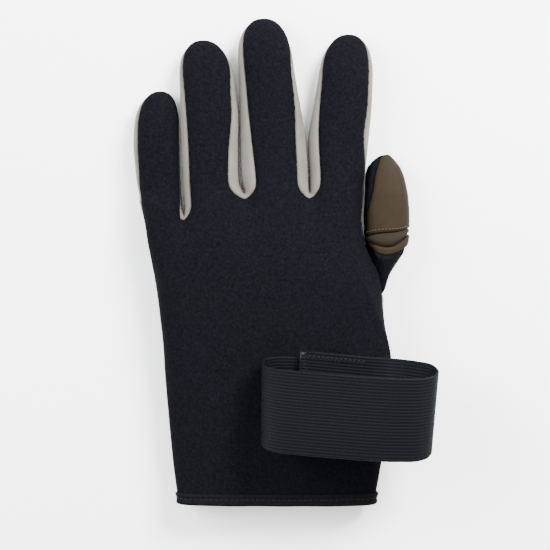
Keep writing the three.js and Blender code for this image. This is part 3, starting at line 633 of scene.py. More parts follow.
    def finger_root(self, index: int) -> list:
        """Returns the ring in which a finger leaves the hand."""
        top_ring, first = self.rings[-1], index * self.finger_columns
        sides = range(1, self.side_columns)
        ring = top_ring[first:first + self.finger_columns + 1]
        right_side = [top_ring[self.wide + step] for step in sides]
        left_side = [top_ring[self.left_start + step] for step in sides]
        ring += self.webs[index] if index < len(self.webs) else right_side
        ring += [top_ring[self.left_start - first - column] for column in range(self.finger_columns, -1, -1)]
        return ring + (self.webs[index - 1][::-1] if index else left_side)

    def finger_angle(self, column: int, seam_left: float, seam_right: float) -> float:
        """Returns the direction of one column of a finger's ring, in degrees."""
        palm = self.finger_columns + self.side_columns
        left = palm + self.finger_columns
        if column <= self.finger_columns:
            return mix(180 - seam_left, seam_right, column / self.finger_columns)
        if column <= palm:
            return mix(seam_right, -self.corner, (column - self.finger_columns) / self.side_columns)
        if column <= left:
            return mix(-self.corner, self.corner - 180, (column - palm) / self.finger_columns)
        return mix(self.corner - 180, -180 - seam_left, (column - left) / self.side_columns)

    def finger_panel(self, index: int, column: int) -> Panel:
        """Returns the panel of one column of a finger."""
        if column < self.finger_columns:
            return Panel.BACK
        if column < self.finger_columns + self.side_columns:
            return CROTCHES[index].panel if index < len(CROTCHES) else Panel.PALM
        if column < 2 * self.finger_columns + self.side_columns:
            return Panel.PALM
        return CROTCHES[index - 1].panel if index else Panel.PALM

    def beside_web(self, index: int, column: float) -> float:
        """Returns 1 for a finger's columns on a web, falling to 0 a little further round."""
        half_ring = self.finger_columns + self.side_columns
        sides = []
        if index < len(CROTCHES):
            sides.append((self.finger_columns, half_ring))
        if index:
            sides.append((half_ring + self.finger_columns, 2 * half_ring))
            sides.append((0, 0))
        return max(clamp(1 - max(low - column, column - high) / self.web_fade, 0, 1) for low, high in sides)

    def build_finger(self, index: int) -> None:
        """Adds one finger, from its root ring to its rounded tip."""
        finger = FINGERS[index]
        root = self.finger_root(index)
        shaft = finger.tip[1] - finger.tip_round - finger.root[1]
        steps = [(share, finger.root[1] + shaft * share, 1.0) for share in SHAFT_RINGS]
        for angle in TIP_RINGS:
            rise = math.sin(math.radians(angle))
            steps.append((1, finger.root[1] + shaft + finger.tip_round * rise,
                          (1 - rise ** self.tip_fullness) ** (1 / self.tip_fullness)))
        lower = root
        for share, height, roundness in steps:
            upper = []
            for column, base in enumerate(root):
                start = self.points[base]
                y = height + (start.y - finger.root[1]) * (1 - share)
                at = (y - finger.root[1]) / (finger.tip[1] - finger.root[1])
                seams = [read_rows(finger.rows, name, at) for name in ("seam_left", "seam_right")]
                angle = math.radians(self.finger_angle(column, *seams))
                half = read_rows(finger.rows, "width", at) * finger.width / 2 * roundness
                x = finger.root[0] + read_rows(finger.rows, "shift", at) * finger.width
                x += half * powered(math.cos(angle), self.finger_fullness)
                tall = read_rows(finger.rows, "height", at) * finger.height
                z = self.hand.section_height(tall, math.sin(angle), self.finger_fullness, roundness)
                grown = smooth_share(y - start.y, 0, self.crotch_blend)
                quick = 1 - (1 - clamp((y - start.y) / self.crotch_blend, 0, 1)) ** 3
                grown = mix(grown, quick, self.beside_web(index, column))
                upper.append(self.add(Vector((mix(start.x, x, grown), y, mix(start.z, z, grown)))))
            self.band(lambda column: self.finger_panel(index, column), lower, upper)
            lower = upper
        tall = read_rows(finger.rows, "height", 1) * finger.height
        tip = self.add(Vector((*finger.tip, self.hand.widest_share * tall)))
        for column, corner in enumerate(lower):
            panel = Panel.BACK if column < self.finger_columns else Panel.PALM
            self.faces.append((panel, (corner, lower[(column + 1) % len(lower)], tip)))

    def build_thumb(self) -> None:
        """Adds the thumb, open between its lip and its cap."""
        ring = [self.rings[row][self.wide] for row in range(self.thumb_end, self.thumb_start, -1)]
        ring += [self.rings[self.thumb_start][self.wide + step] for step in range(self.side_columns)]
        ring += [self.rings[row][self.palm_start] for row in range(self.thumb_start, self.thumb_end)]
        ring += [self.rings[self.thumb_end][self.wide + step] for step in range(self.side_columns, 0, -1)]
        inner_start = 2 * self.thumb.top_steps + self.thumb.side_steps

        def panel_of(column: int, at: float) -> Panel | None:
            """Returns the panel of one square of the thumb, from its column and row."""
            if at < self.thumb.lip_row or column >= inner_start:
                return Panel.THUMB_SHELL
            if at < self.thumb.slit_row:
                return Panel.THUMB_LIP
            return None if at < self.thumb.hem_row else Panel.THUMB_CAP

        before = -1
        for at in THUMB_RINGS:
            row = self.thumb.row(at)
            upper = [self.add(self.thumb.point(row, column)) for column in range(len(ring))]
            self.band(lambda column: panel_of(column, before), ring, upper)
            ring, before = upper, at
        tip = self.add(Vector((
            self.thumb.base_x + self.thumb_tip[0] * self.thumb.width,
            self.thumb.crotch_y + self.thumb_tip[1] * self.thumb.length,
            self.hand.widest_share * self.thumb.height,
        )))
        for column, corner in enumerate(ring):
            self.faces.append((panel_of(column, before), (corner, ring[(column + 1) % len(ring)], tip)))

    def build(self) -> None:
        """Builds the whole net."""
        self.build_hand()
        self.build_webs()
        for index in range(len(FINGERS)):
            self.build_finger(index)
        self.build_thumb()


def face_normals(points: np.ndarray, squares: np.ndarray) -> np.ndarray:
    """Returns unit normals at the points of a net of squares, each weighted by its squares' areas."""
    across = points[squares[:, 2]] - points[squares[:, 0]]
    along = points[squares[:, 3]] - points[squares[:, 1]]
    normals = np.zeros_like(points)
    for corner in range(4):
        np.add.at(normals, squares[:, corner], np.cross(across, along))
    return normals / np.maximum(np.linalg.norm(normals, axis=1, keepdims=True), TINY)


def new_mesh(name: str, points: list, faces: list) -> bpy.types.Object:
    """Makes a smooth-shaded object from points and faces in the row frame."""
    mesh = bpy.data.meshes.new(name)
    mesh.from_pydata([tuple(point) for point in points], [], [tuple(int(i) for i in face) for face in faces])
    mesh.polygons.foreach_set("use_smooth", [True] * len(mesh.polygons))
    mesh.update()
    made = bpy.data.objects.new(name, mesh)
    bpy.context.scene.collection.objects.link(made)
    return made


@dataclass
class FineSkin:
    """The skin after smoothing, with the soft relief of sewn cloth."""

    skin: Skin
    levels: int = 2
    neoprene_sink: float = 0.0012    # how far the thick cloth rolls down into a seam
    neoprene_roll: float = 0.0030    # how far from the seam the roll starts
    suede_sink: float = 0.0011
    suede_roll: float = 0.0030
    swell: float = 0.00035           # height of the cloth's slow unevenness
    swell_length: float = 0.035
    ground_fade: float = 0.004       # height above the table at which the relief is whole
    ground_sink: float = 0.3         # share of a seam's roll that is kept on the table
    steepest: float = 0.98           # keeps the roll short of upright at the seam itself
    seam_samples: tuple = (0, 0.25, 0.5, 0.75)

    def build(self) -> None:
        """Smooths the net, finds its seams and lays the relief on it."""
        self.subdivide()
        self.normals = face_normals(self.points, self.squares)
        self.find_edges()
        self.lay_relief()

    def subdivide(self) -> None:
        """Subdivides the net so that the smooth surface goes through the net's own points."""
        panels = list(Panel)
        draft = new_mesh("skin_draft", self.skin.points, [corners for panel, corners in self.skin.faces])
        numbers = [panels.index(panel) for panel, corners in self.skin.faces]
        draft.data.polygons.foreach_set("material_index", numbers)
        for panel in panels:
            draft.data.materials.append(bpy.data.materials.new(panel.value))
        smoother = draft.modifiers.new("smooth", "SUBSURF")
        smoother.levels = self.levels
        control = np.array([tuple(point) for point in self.skin.points])
        for final in (False, True):
            graph = bpy.context.evaluated_depsgraph_get()
            fine = bpy.data.meshes.new_from_object(draft.evaluated_get(graph))
            self.points = np.empty(len(fine.vertices) * 3)
            fine.vertices.foreach_get("co", self.points)
            self.points = self.points.reshape(-1, 3)
            if not final:
                moved = control + (control - self.points[:len(control)])
                draft.data.vertices.foreach_set("co", moved.ravel())
                draft.data.update()
                bpy.data.meshes.remove(fine)
                draft.update_tag()
                bpy.context.view_layer.update()
        self.squares = np.array([tuple(face.vertices) for face in fine.polygons])
        self.panel_of = np.array([face.material_index for face in fine.polygons])
        bpy.data.meshes.remove(fine)
        bpy.data.objects.remove(draft)
        for panel in panels:
            bpy.data.materials.remove(bpy.data.materials[panel.value])
        self.points[:, 2] = np.maximum(self.points[:, 2], 0)

    def find_edges(self) -> None:
        """Finds the seams between panels, the free edges, and each point's distance to a seam."""
        owners = {}
        for face, corners in enumerate(self.squares):
            for place in range(4):
                key = tuple(sorted((int(corners[place]), int(corners[(place + 1) % 4]))))
                owners.setdefault(key, []).append(self.panel_of[face])
        self.seams = [edge for edge, found in owners.items() if len(found) == 2 and found[0] != found[1]]
        self.free = [edge for edge, found in owners.items() if len(found) == 1]
        tree = KDTree(len(self.seams) * len(self.seam_samples))
        for index, (start, end) in enumerate(self.seams):
            for step, share in enumerate(self.seam_samples):
                place = self.points[start] + (self.points[end] - self.points[start]) * share
                tree.insert(place, index * len(self.seam_samples) + step)
        tree.balance()
        self.seam_distance = np.array([tree.find(point)[2] for point in self.points])

    def lay_relief(self) -> None:
        """Lays slow unevenness and rolled seam edges on each panel's outer points."""
        drift = np.array([noise.noise(Vector(point) / self.swell_length) for point in self.points])
        swell = drift * self.swell
        free = np.clip(self.points[:, 2] / self.ground_fade, 0, 1)
        self.relief = {}
        for index, panel in enumerate(Panel):
            thick = panel in (Panel.BACK, Panel.WRIST, Panel.THUMB_SHELL)
            sink = self.neoprene_sink if thick else self.suede_sink
            roll = self.neoprene_roll if thick else self.suede_roll
            share = np.clip(1 - self.seam_distance / roll, 0, 1)
            drop = sink * (1 - np.sqrt(1 - share ** 2 * self.steepest))
            self.relief[index] = swell * free - drop * np.maximum(free, self.ground_sink)

    def loop(self, test: Callable[[np.ndarray], bool]) -> list:
        """Walks the free edges round one opening.

        Args:
            test: Function of a point that is true for the wanted opening's points.

        Returns:
            The points' numbers in order round the opening.
        """
        near = {}
        for start, end in self.free:
            if test(self.points[start]) and test(self.points[end]):
                near.setdefault(start, []).append(end)
                near.setdefault(end, []).append(start)
        ends = [point for point, others in near.items() if len(others) == 1]
        here = ends[0] if ends else next(iter(near))
        walk, before = [here], None
        while True:
            onward = [point for point in near[here] if point != before and point != walk[0]]
            if not onward or (len(walk) > 1 and onward[0] in walk[-2:]):
                return walk
            before, here = here, onward[0]
            walk.append(here)


@dataclass
class PanelCloth:
    """One cloth panel of the skin, with its wall and its turned edges."""

    skin: FineSkin
    panel: Panel
    wall: float
    rim_bulge: float = 0.35          # how far a free edge rounds out, as a share of the wall

    def build(self) -> bpy.types.Object:
        """Returns the panel as a closed solid that stands for its CAD node."""
        index = list(Panel).index(self.panel)
        squares = self.skin.squares[self.skin.panel_of == index]
        used, local = np.unique(squares, return_inverse=True)
        local = local.reshape(-1, 4)
        base = self.skin.points[used]
        normals = self.skin.normals[used]
        outer = base + normals * self.skin.relief[index][used][:, None]
        outer[:, 2] = np.maximum(outer[:, 2], 0)
        away = self.edge_directions(base, normals, local)
        on_seam = np.isin(used, np.unique(np.array(self.skin.seams)))
        outer += away * np.where(on_seam, SEAM_GAP / 2, 0)[:, None]
        inner = base - normals * self.wall + away * np.where(on_seam, SEAM_GAP / 2, 0)[:, None]
        inner[:, 2] = np.maximum(inner[:, 2], 0)
        return self.solid(outer, inner, away, local, on_seam)

    def edge_directions(self, points: np.ndarray, normals: np.ndarray, squares: np.ndarray) -> np.ndarray:
        """Returns, for each point on the panel's edge, the direction into the panel."""
        centres = points[squares].mean(axis=1)
        inward = np.zeros_like(points)
        for corner in range(4):
            np.add.at(inward, squares[:, corner], centres - points[squares[:, corner]])
        self.rims = self.edge_pairs(squares)
        tangents = np.zeros_like(points)
        for start, end in self.rims:
            along = points[end] - points[start]
            tangents[start] += along
            tangents[end] += along
        edge = np.linalg.norm(tangents, axis=1) > 0
        lengths = np.maximum(np.linalg.norm(tangents, axis=1, keepdims=True), TINY)
        for axis in (normals, tangents / lengths):
            inward -= axis * (inward * axis).sum(axis=1, keepdims=True)
        inward /= np.maximum(np.linalg.norm(inward, axis=1, keepdims=True), TINY)
        return inward * edge[:, None]

    def edge_pairs(self, squares: np.ndarray) -> list:
        """Returns the panel's boundary edges, each in its square's direction."""
        pairs = {}
        for corners in squares:
            for place in range(4):
                start, end = int(corners[place]), int(corners[(place + 1) % 4])
                if (end, start) in pairs:
                    del pairs[(end, start)]
                else:
                    pairs[(start, end)] = True
        return list(pairs)

    def solid(self, outer: np.ndarray, inner: np.ndarray, away: np.ndarray,
              squares: np.ndarray, on_seam: np.ndarray) -> bpy.types.Object:
        """Closes the panel with a rounded rim.

        Args:
            outer: Points of the outer face.
            inner: Points of the inner face.
            away: Directions into the panel at its edge.
            squares: The panel's squares.
            on_seam: True for points that another panel meets.

        Returns:
            The panel's object.
        """
        count = len(outer)
        rim_points = sorted({point for pair in self.rims for point in pair})
        places = {point: 2 * count + place for place, point in enumerate(rim_points)}
        bulge = np.where(on_seam, 0.0, self.rim_bulge * self.wall)
        middle = [(outer[point] + inner[point]) / 2 - away[point] * bulge[point] for point in rim_points]
        faces = [tuple(corners) for corners in squares]
        faces += [tuple(corners[::-1] + count) for corners in squares]
        for start, end in self.rims:
            faces.append((end, start, places[start], places[end]))
            faces.append((places[end], places[start], start + count, end + count))
        return new_mesh(self.panel.value + "_cloth", [*outer, *inner, *middle], faces)


def place_on_frame(piece: bpy.types.Object) -> bpy.types.Object:
    """Moves a piece from the cuff's edge and the middle line to its place in the row frame."""
    piece.data.transform(Matrix.Translation((MIDDLE_LINE_X, CUFF_EDGE_Y, 0)))
    return piece


def running_length(line: np.ndarray) -> np.ndarray:
    """Returns the length along a line of points, from its start to each of them."""
    return np.concatenate([[0], np.cumsum(np.linalg.norm(np.diff(line, axis=0), axis=1))])


def smooth_course(points: list, steps: int) -> tuple:
    """Samples a smooth curve through points at even distances.

    Args:
        points: Points that the curve goes through.
        steps: Number of stretches in the result.

    Returns:
        The sampled points and the curve's unit tangents there.
    """
    through = np.array([tuple(point) for point in points])
    lengths = running_length(through)
    slopes = np.gradient(through, lengths, axis=0)

    def sample(at: np.ndarray) -> np.ndarray:
        """Returns the curve's points at lengths along its control polygon."""
        low = np.clip(np.searchsorted(lengths, at, side="right") - 1, 0, len(lengths) - 2)
        span = (lengths[low + 1] - lengths[low])[:, None]
        share = (at - lengths[low])[:, None] / span
        return hermite(share, span, through[low], through[low + 1], (slopes[low], slopes[low + 1]))

    dense = sample(np.linspace(0, lengths[-1], 20 * len(points)))
    real = running_length(dense)
    even = np.interp(np.linspace(0, real[-1], steps + 1), real, np.linspace(0, lengths[-1], len(dense)))
    course = sample(even)
    tangents = np.gradient(course, axis=0)
    return course, tangents / np.linalg.norm(tangents, axis=1, keepdims=True)


@dataclass
class Stitching:
    """A row of thread stitches that lies on a surface along a line."""

    name: str
    line: list                       # points of the line on the surface
    normals: list                    # the surface's directions at those points
    pitch: float = 0.0022
    length: float = 0.0016
    radius: float = 0.00022
    rise: float = 0.00012            # how high a stitch's middle stands
    zigzag: float = 0.0              # how far the stitches swing to each side of the line

    def build(self) -> bpy.types.Object:
        """Returns all the stitches as one mesh of short bent threads."""
        total = sum((Vector(b) - Vector(a)).length for a, b in zip(self.line, self.line[1:]))
        count = max(2, round(total / self.pitch))
        course, tangents = smooth_course(self.line, count)
        sources = np.linspace(0, len(self.normals) - 1, count + 1)
        ups = np.stack([
            np.interp(sources, range(len(self.normals)), [normal[axis] for normal in self.normals])
            for axis in range(3)
        ], axis=1)
        points, faces = [], []
        for index in range(count):
            along, up = Vector(tangents[index]), Vector(ups[index]).normalized()
            side = up.cross(along).normalized()
            if self.zigzag:
                swing = side * self.zigzag * (1 if index % 2 else -1)
                start, end = Vector(course[index]) - swing, Vector(course[index + 1]) + swing
            else:
                middle = (Vector(course[index]) + Vector(course[index + 1])) / 2
                start, end = middle - along * self.length / 2, middle + along * self.length / 2
            self.add_thread(start, end, up, points, faces)
        return new_mesh(self.name, points, faces)

    def add_thread(self, start: Vector, end: Vector, up: Vector, points: list, faces: list) -> None:
        """Adds one stitch: a round thread that dives into the cloth at both ends.

        Args:
            start: Where the stitch comes out of the cloth.
            end: Where it goes in again.
            up: The surface's direction.
            points: List that receives the thread's points.
            faces: List that receives its faces.
        """
        rings, sides = 5, 6
        dive, thin, gain = 0.6, 0.45, 0.55   # depth at the ends, and radius at and between them, in radii
        side = up.cross(end - start).normalized()
        first = len(points)
        for ring in range(rings):
            share = ring / (rings - 1)
            arch = math.sin(math.pi * share)
            centre = start.lerp(end, share) + up * (self.rise * arch - self.radius * dive * (1 - arch))
            radius = self.radius * (thin + gain * arch)
            for corner in range(sides):
                turn = 2 * math.pi * corner / sides
                points.append(centre + side * math.cos(turn) * radius + up * math.sin(turn) * radius)
        for ring in range(rings - 1):
            for corner in range(sides):
                low, follow = first + ring * sides, (corner + 1) % sides
                faces.append((low + corner, low + follow, low + sides + follow, low + sides + corner))
        faces.append(tuple(first + corner for corner in reversed(range(sides))))
        faces.append(tuple(first + (rings - 1) * sides + corner for corner in range(sides)))


def grid_solid(name: str, outer: np.ndarray, inner: np.ndarray) -> bpy.types.Object:
    """Makes a closed solid from two matching grids of points.

    Args:
        name: The object's name.
        outer: Points of the outer face, as rows of columns.
        inner: Points of the inner face.

    Returns:
        The object, with a UV map that gives the place along and across the grid in metres.
    """
    rows, columns = outer.shape[:2]
    shift = rows * columns
    faces = []
    for row in range(rows - 1):
        for column in range(columns - 1):
            a = row * columns + column
            b = a + 1
            c, d = b + columns, a + columns
            faces.append((a, b, c, d))
            faces.append((shift + a, shift + d, shift + c, shift + b))
    last = (rows - 1) * columns
    for a in range(columns - 1):
        b = a + 1
        faces.append((b, a, shift + a, shift + b))
        faces.append((last + a, last + b, shift + last + b, shift + last + a))
    for row in range(rows - 1):
        a, d = row * columns, (row + 1) * columns
        faces.append((a, d, shift + d, shift + a))
        b, c = a + columns - 1, d + columns - 1
        faces.append((c, b, shift + b, shift + c))
    made = new_mesh(name, [*outer.reshape(-1, 3), *inner.reshape(-1, 3)], faces)
    along, across = running_length(outer[:, columns // 2]), running_length(outer[rows // 2])
    places = np.stack(np.meshgrid(along, across, indexing="ij"), axis=-1).reshape(-1, 2)
    places = np.concatenate([places, places])
    corners = np.array([loop.vertex_index for loop in made.data.loops])
    made.data.uv_layers.new(name="cloth").uv.foreach_set("vector", places[corners].ravel())
    return made


@dataclass(frozen=True)
class StrapRow:
    """One place on the strap's course.

    `along` is a share of the span from the left fold, `rise` a share of the loop's height, `follow`
    how much it keeps to the hand's back, `layer` the thicknesses beneath it, `skew` a share of the
    width towards the fingertips and `splay` a share that its cuff side stands to the right.
    """

    along: float
    rise: float
    follow: float
    layer: float = 0
    skew: float = 0
    splay: float = 0


STRAP_ROWS = (
    StrapRow(0.62, 0.00, 1.00, 0, 0, 0),
    StrapRow(0.50, 0.00, 1.00, 0, 0, 0),
    StrapRow(0.38, 0.00, 1.00, 0, 0, 0),
    StrapRow(0.26, 0.00, 1.00, 0, 0, 0),
    StrapRow(0.15, 0.01, 1.00, 0, 0, 0),
    StrapRow(0.065, 0.07, 0.90, 0, -0.015, 0.03),
    StrapRow(0.012, 0.25, 0.60, 0, -0.04, 0.06),
    StrapRow(0.000, 0.50, 0.30, 0, -0.085, 0.07),
    StrapRow(0.020, 0.76, 0.00, 0, -0.12, 0.075),
    StrapRow(0.085, 0.97, 0.00, 0, -0.135, 0.075),
    StrapRow(0.22, 1.08, 0.00, 0, -0.14, 0.06),
    StrapRow(0.42, 1.13, 0.00, 0, -0.14, 0.045),
    StrapRow(0.62, 1.12, 0.00, 0, -0.14, 0.03),
    StrapRow(0.80, 1.04, 0.00, 0, -0.13, 0.015),
    StrapRow(0.92, 0.90, 0.00, 0, -0.11, 0),
    StrapRow(0.985, 0.70, 0.00, 0, -0.065, -0.01),
    StrapRow(1.000, 0.50, 0.00, 0, -0.005, -0.01),
    StrapRow(0.97, 0.33, 0.00, 0, 0.045, -0.01),
    StrapRow(0.88, 0.22, 0.10, 0.3, 0.07, -0.01),
    StrapRow(0.75, 0.14, 0.40, 0.7, 0.075, 0),
    StrapRow(0.62, 0.05, 0.80, 1, 0.075, 0),
    StrapRow(0.50, 0.01, 1.00, 1, 0.08, 0),
    StrapRow(0.36, 0.00, 1.00, 1, 0.085, 0),
    StrapRow(0.21, 0.00, 1.00, 1, 0.09, 0),
)


@dataclass
class WristStrap:
    """The looped elastic strap, its hook tape and their stitching."""

    hand: HandForm
    width: float = 0.040
    thickness: float = 0.0015
    span: float = 0.0845
    rise: float = 0.020
    turn: float = -4.5
    fold_x: float = -0.0046
    middle_y: float = 0.0552
    patch_thickness: float = 0.0016
    patch_length: float = 0.035
    ribs: int = 26
    rib_points: int = 4
    rib_height: float = 0.00024
    corner_round: float = 0.006      # rounding of the free end's corners
    edge_round: float = 0.0006       # rounding of the long edges
    edge_least: float = 0.15         # thinnest share, squared, of the thickness at an edge
    end_rows: int = 12               # rows over which the free end is drawn in
    guide_lines: int = 5             # courses across the webbing that the others lie between
    patch_inset: float = 0.02        # bare share of the width at each side of the hook tape
    steps: int = 230

    def __post_init__(self) -> None:
        """Works out the strap's own directions in plan and the height that it stands on."""
        turn = math.radians(self.turn)
        self.along = Vector((math.cos(turn), math.sin(turn), 0))
        self.across = Vector((-self.along.y, self.along.x, 0))
        self.base = self.hand.back_height(self.fold_x + self.span / 4, self.middle_y)

    def middle(self, row: StrapRow, share: float) -> Vector:
        """Returns the middle of the webbing's thickness at a row, for a share across it."""
        point = Vector((self.fold_x, self.middle_y, 0))
        point += self.along * (row.along * self.span + row.splay * self.width * (1 - share))
        point += self.across * (share - 0.5 + row.skew) * self.width
        ground = mix(self.base, self.hand.back_height(point.x, point.y), row.follow)
        stack = row.layer * (self.thickness + self.patch_thickness + 2 * SEAM_GAP)
        point.z = ground + SEAM_GAP + self.thickness / 2 + stack + row.rise * self.rise
        return point

    def surface(self, shares: np.ndarray) -> tuple:
        """Returns the webbing's middle surface and its directions as grids, for shares across it."""
        guides = np.linspace(0, 1, self.guide_lines)
        curves = [
            smooth_course([self.middle(row, share) for row in STRAP_ROWS], self.steps) for share in guides
        ]
        middles = np.stack([curve[0] for curve in curves], axis=1)
        grid = np.stack([
            np.stack([np.interp(shares, guides, row[:, axis]) for axis in range(3)], axis=1)
            for row in middles
        ])
        tangents = np.stack([curve[1] for curve in curves], axis=1)[:, self.guide_lines // 2]
        normals = np.cross(np.array(self.across), tangents)
        normals /= np.linalg.norm(normals, axis=1, keepdims=True)
        return grid, np.repeat(normals[:, None], len(shares), axis=1)

    def build_webbing(self) -> bpy.types.Object:
        """Returns the webbing, with a rib for each of its elastic cords and a rounded free end."""
        columns = self.ribs * self.rib_points
        shares = np.linspace(0, 1, columns + 1)
        grid, normals = self.surface(shares)
        edge = np.minimum(shares, 1 - shares) * self.width
        pull = self.corner_round - np.sqrt(
            np.maximum(self.corner_round ** 2 - np.maximum(self.corner_round - edge, 0) ** 2, 0))
        reach = np.linspace(0, 1, self.end_rows + 1)[1:]
        step = np.linalg.norm(grid[-1, columns // 2] - grid[-2, columns // 2])
        for back, share in enumerate(reach):
            row = len(grid) - len(reach) + back
            inward = grid[row - 1] - grid[row]
            inward /= np.linalg.norm(inward, axis=1, keepdims=True)
            grid[row] += inward * (pull * share * min(1.0, self.end_rows * step / self.corner_round))[:, None]
        rib = np.cos(2 * math.pi * shares * self.ribs) * -0.5 + 0.5
        thick = self.thickness / 2 - self.rib_height + self.rib_height * rib
        thick = thick * np.sqrt(np.clip(edge / self.edge_round, self.edge_least, 1))
        offset = normals * thick[None, :, None]
        return grid_solid("strap_webbing", grid + offset, grid - offset)

    def build_patch(self) -> bpy.types.Object:
        """Returns the hook tape that lies under the webbing's free end."""
        shares = np.linspace(self.patch_inset, 1 - self.patch_inset, 33)
        end = STRAP_ROWS[-1]
        drop = Vector((0, 0, self.thickness / 2 + SEAM_GAP))
        rows = []
        for place in np.linspace(0, 1, 24):
            along = end.along + place * self.patch_length / self.span
            row = StrapRow(along, end.rise, end.follow, end.layer, end.skew)
            rows.append([self.middle(row, share) - drop for share in shares])
        top = np.array([[tuple(point) for point in row] for row in rows])
        low = top - np.array((0, 0, self.patch_thickness))
        return grid_solid("strap_hook_tape", top[:, ::-1], low[:, ::-1])

    def build_stitching(self) -> bpy.types.Object:
        """Returns the zigzag seam that holds the hook tape to the free end."""
        inset_across, inset_along = 0.0030, 0.0032
        grid, normals = self.surface(np.array([
            inset_across / self.width, 0.25, 0.5, 0.75, 1 - inset_across / self.width]))
        step = np.linalg.norm(grid[-1, 2] - grid[-2, 2])
        near, far = round(inset_along / step), round((self.patch_length - inset_along) / step)
        rows = range(len(grid) - 1 - far, len(grid) - near)
        path = [(row, 4) for row in rows]
        path += [(rows[-1], column) for column in (3, 2, 1)]
        path += [(row, 0) for row in reversed(rows)]
        lift = self.thickness / 2
        line = [Vector(grid[row, column] + normals[row, column] * lift) for row, column in path]
        return Stitching("strap_zigzag_stitches", line, [normals[place] for place in path],
                         pitch=0.0011, radius=0.00021, rise=0.0001, zigzag=0.0011).build()


@dataclass
class CuffBinding:
    """The folded tape round the cuff edge, with its seam."""

    skin: FineSkin
    width: float = 0.0058
    tape: float = 0.0008
    waviness: float = 0.00035
    wave_length: float = 0.018
    seam_share: float = 0.56         # place of the stitches across the tape
    thread_lift: float = 0.6         # their height in the tape's thickness

    def course(self) -> list:
        """Returns the cuff edge's points in order, each with its directions out and into the cloth."""
        edge = self.skin.loop(lambda point: point[1] < self.width / 2)
        places = []
        for number in edge:
            point, normal = Vector(self.skin.points[number]), Vector(self.skin.normals[number])
            out = Vector((normal.x, 0, normal.z)).normalized()
            inward = Vector((0, 1, 0)) - normal * normal.y
            places.append((point, out, inward / inward.y))
        centre = sum((place[0] for place in places), Vector()) / len(places)
        turn = sum((a[0] - centre).cross(b[0] - centre).y for a, b in zip(places, places[1:]))
        return places if turn > 0 else places[::-1]

    def profile(self) -> list:
        """Returns the tape's section: share of its width from the edge, and distance out of the skin."""
        out, inside = SEAM_GAP + self.tape, -NEOPRENE_WALL - SEAM_GAP - self.tape
        swell, dip = self.tape * 0.35, self.tape * 0.45
        fold, under = self.tape / self.width, -NEOPRENE_WALL - SEAM_GAP
        return [
            (1.00, SEAM_GAP), (1.00, out - dip), (0.94, out), (0.75, out), (0.60, out - dip),
            (0.52, out - dip), (0.40, out), (0.22, out + swell), (0.08, out), (0.00, out - self.tape),
            (-0.02, -NEOPRENE_WALL / 2),
            (0.00, inside + self.tape), (0.10, inside), (0.50, inside + dip), (0.92, inside),
            (1.00, inside + dip), (1.00, under), (fold, under), (fold, SEAM_GAP),
        ]

    def build_tape(self) -> bpy.types.Object:
        """Returns the tape as a closed tube of its section round the cuff."""
        course, profile = self.course(), self.profile()
        points, faces = [], []
        for point, out, inward in course:
            wave = noise.noise(point / self.wave_length) * self.waviness
            for share, distance in profile:
                y = share * self.width + wave * (1 - share)
                place = point + inward * (y - point.y) + out * distance
                place.z = max(place.z, 0)
                points.append(place)
        size = len(profile)
        for column in range(len(course)):
            here, follow = column * size, (column + 1) % len(course) * size
            for step in range(size):
                after = (step + 1) % size
                faces.append((here + step, here + after, follow + after, follow + step))
        return new_mesh("cuff_binding_tape", points, faces)

    def build_stitching(self) -> bpy.types.Object:
        """Returns the seam that runs round the tape's middle."""
        line, normals = [], []
        lift = SEAM_GAP + self.tape * self.thread_lift
        for point, out, inward in [*self.course(), self.course()[0]]:
            line.append(point + inward * (self.seam_share * self.width - point.y) + out * lift)
            normals.append(out)
        return Stitching("cuff_stitches", line, normals, pitch=0.0026, length=0.0019, radius=0.00026).build()


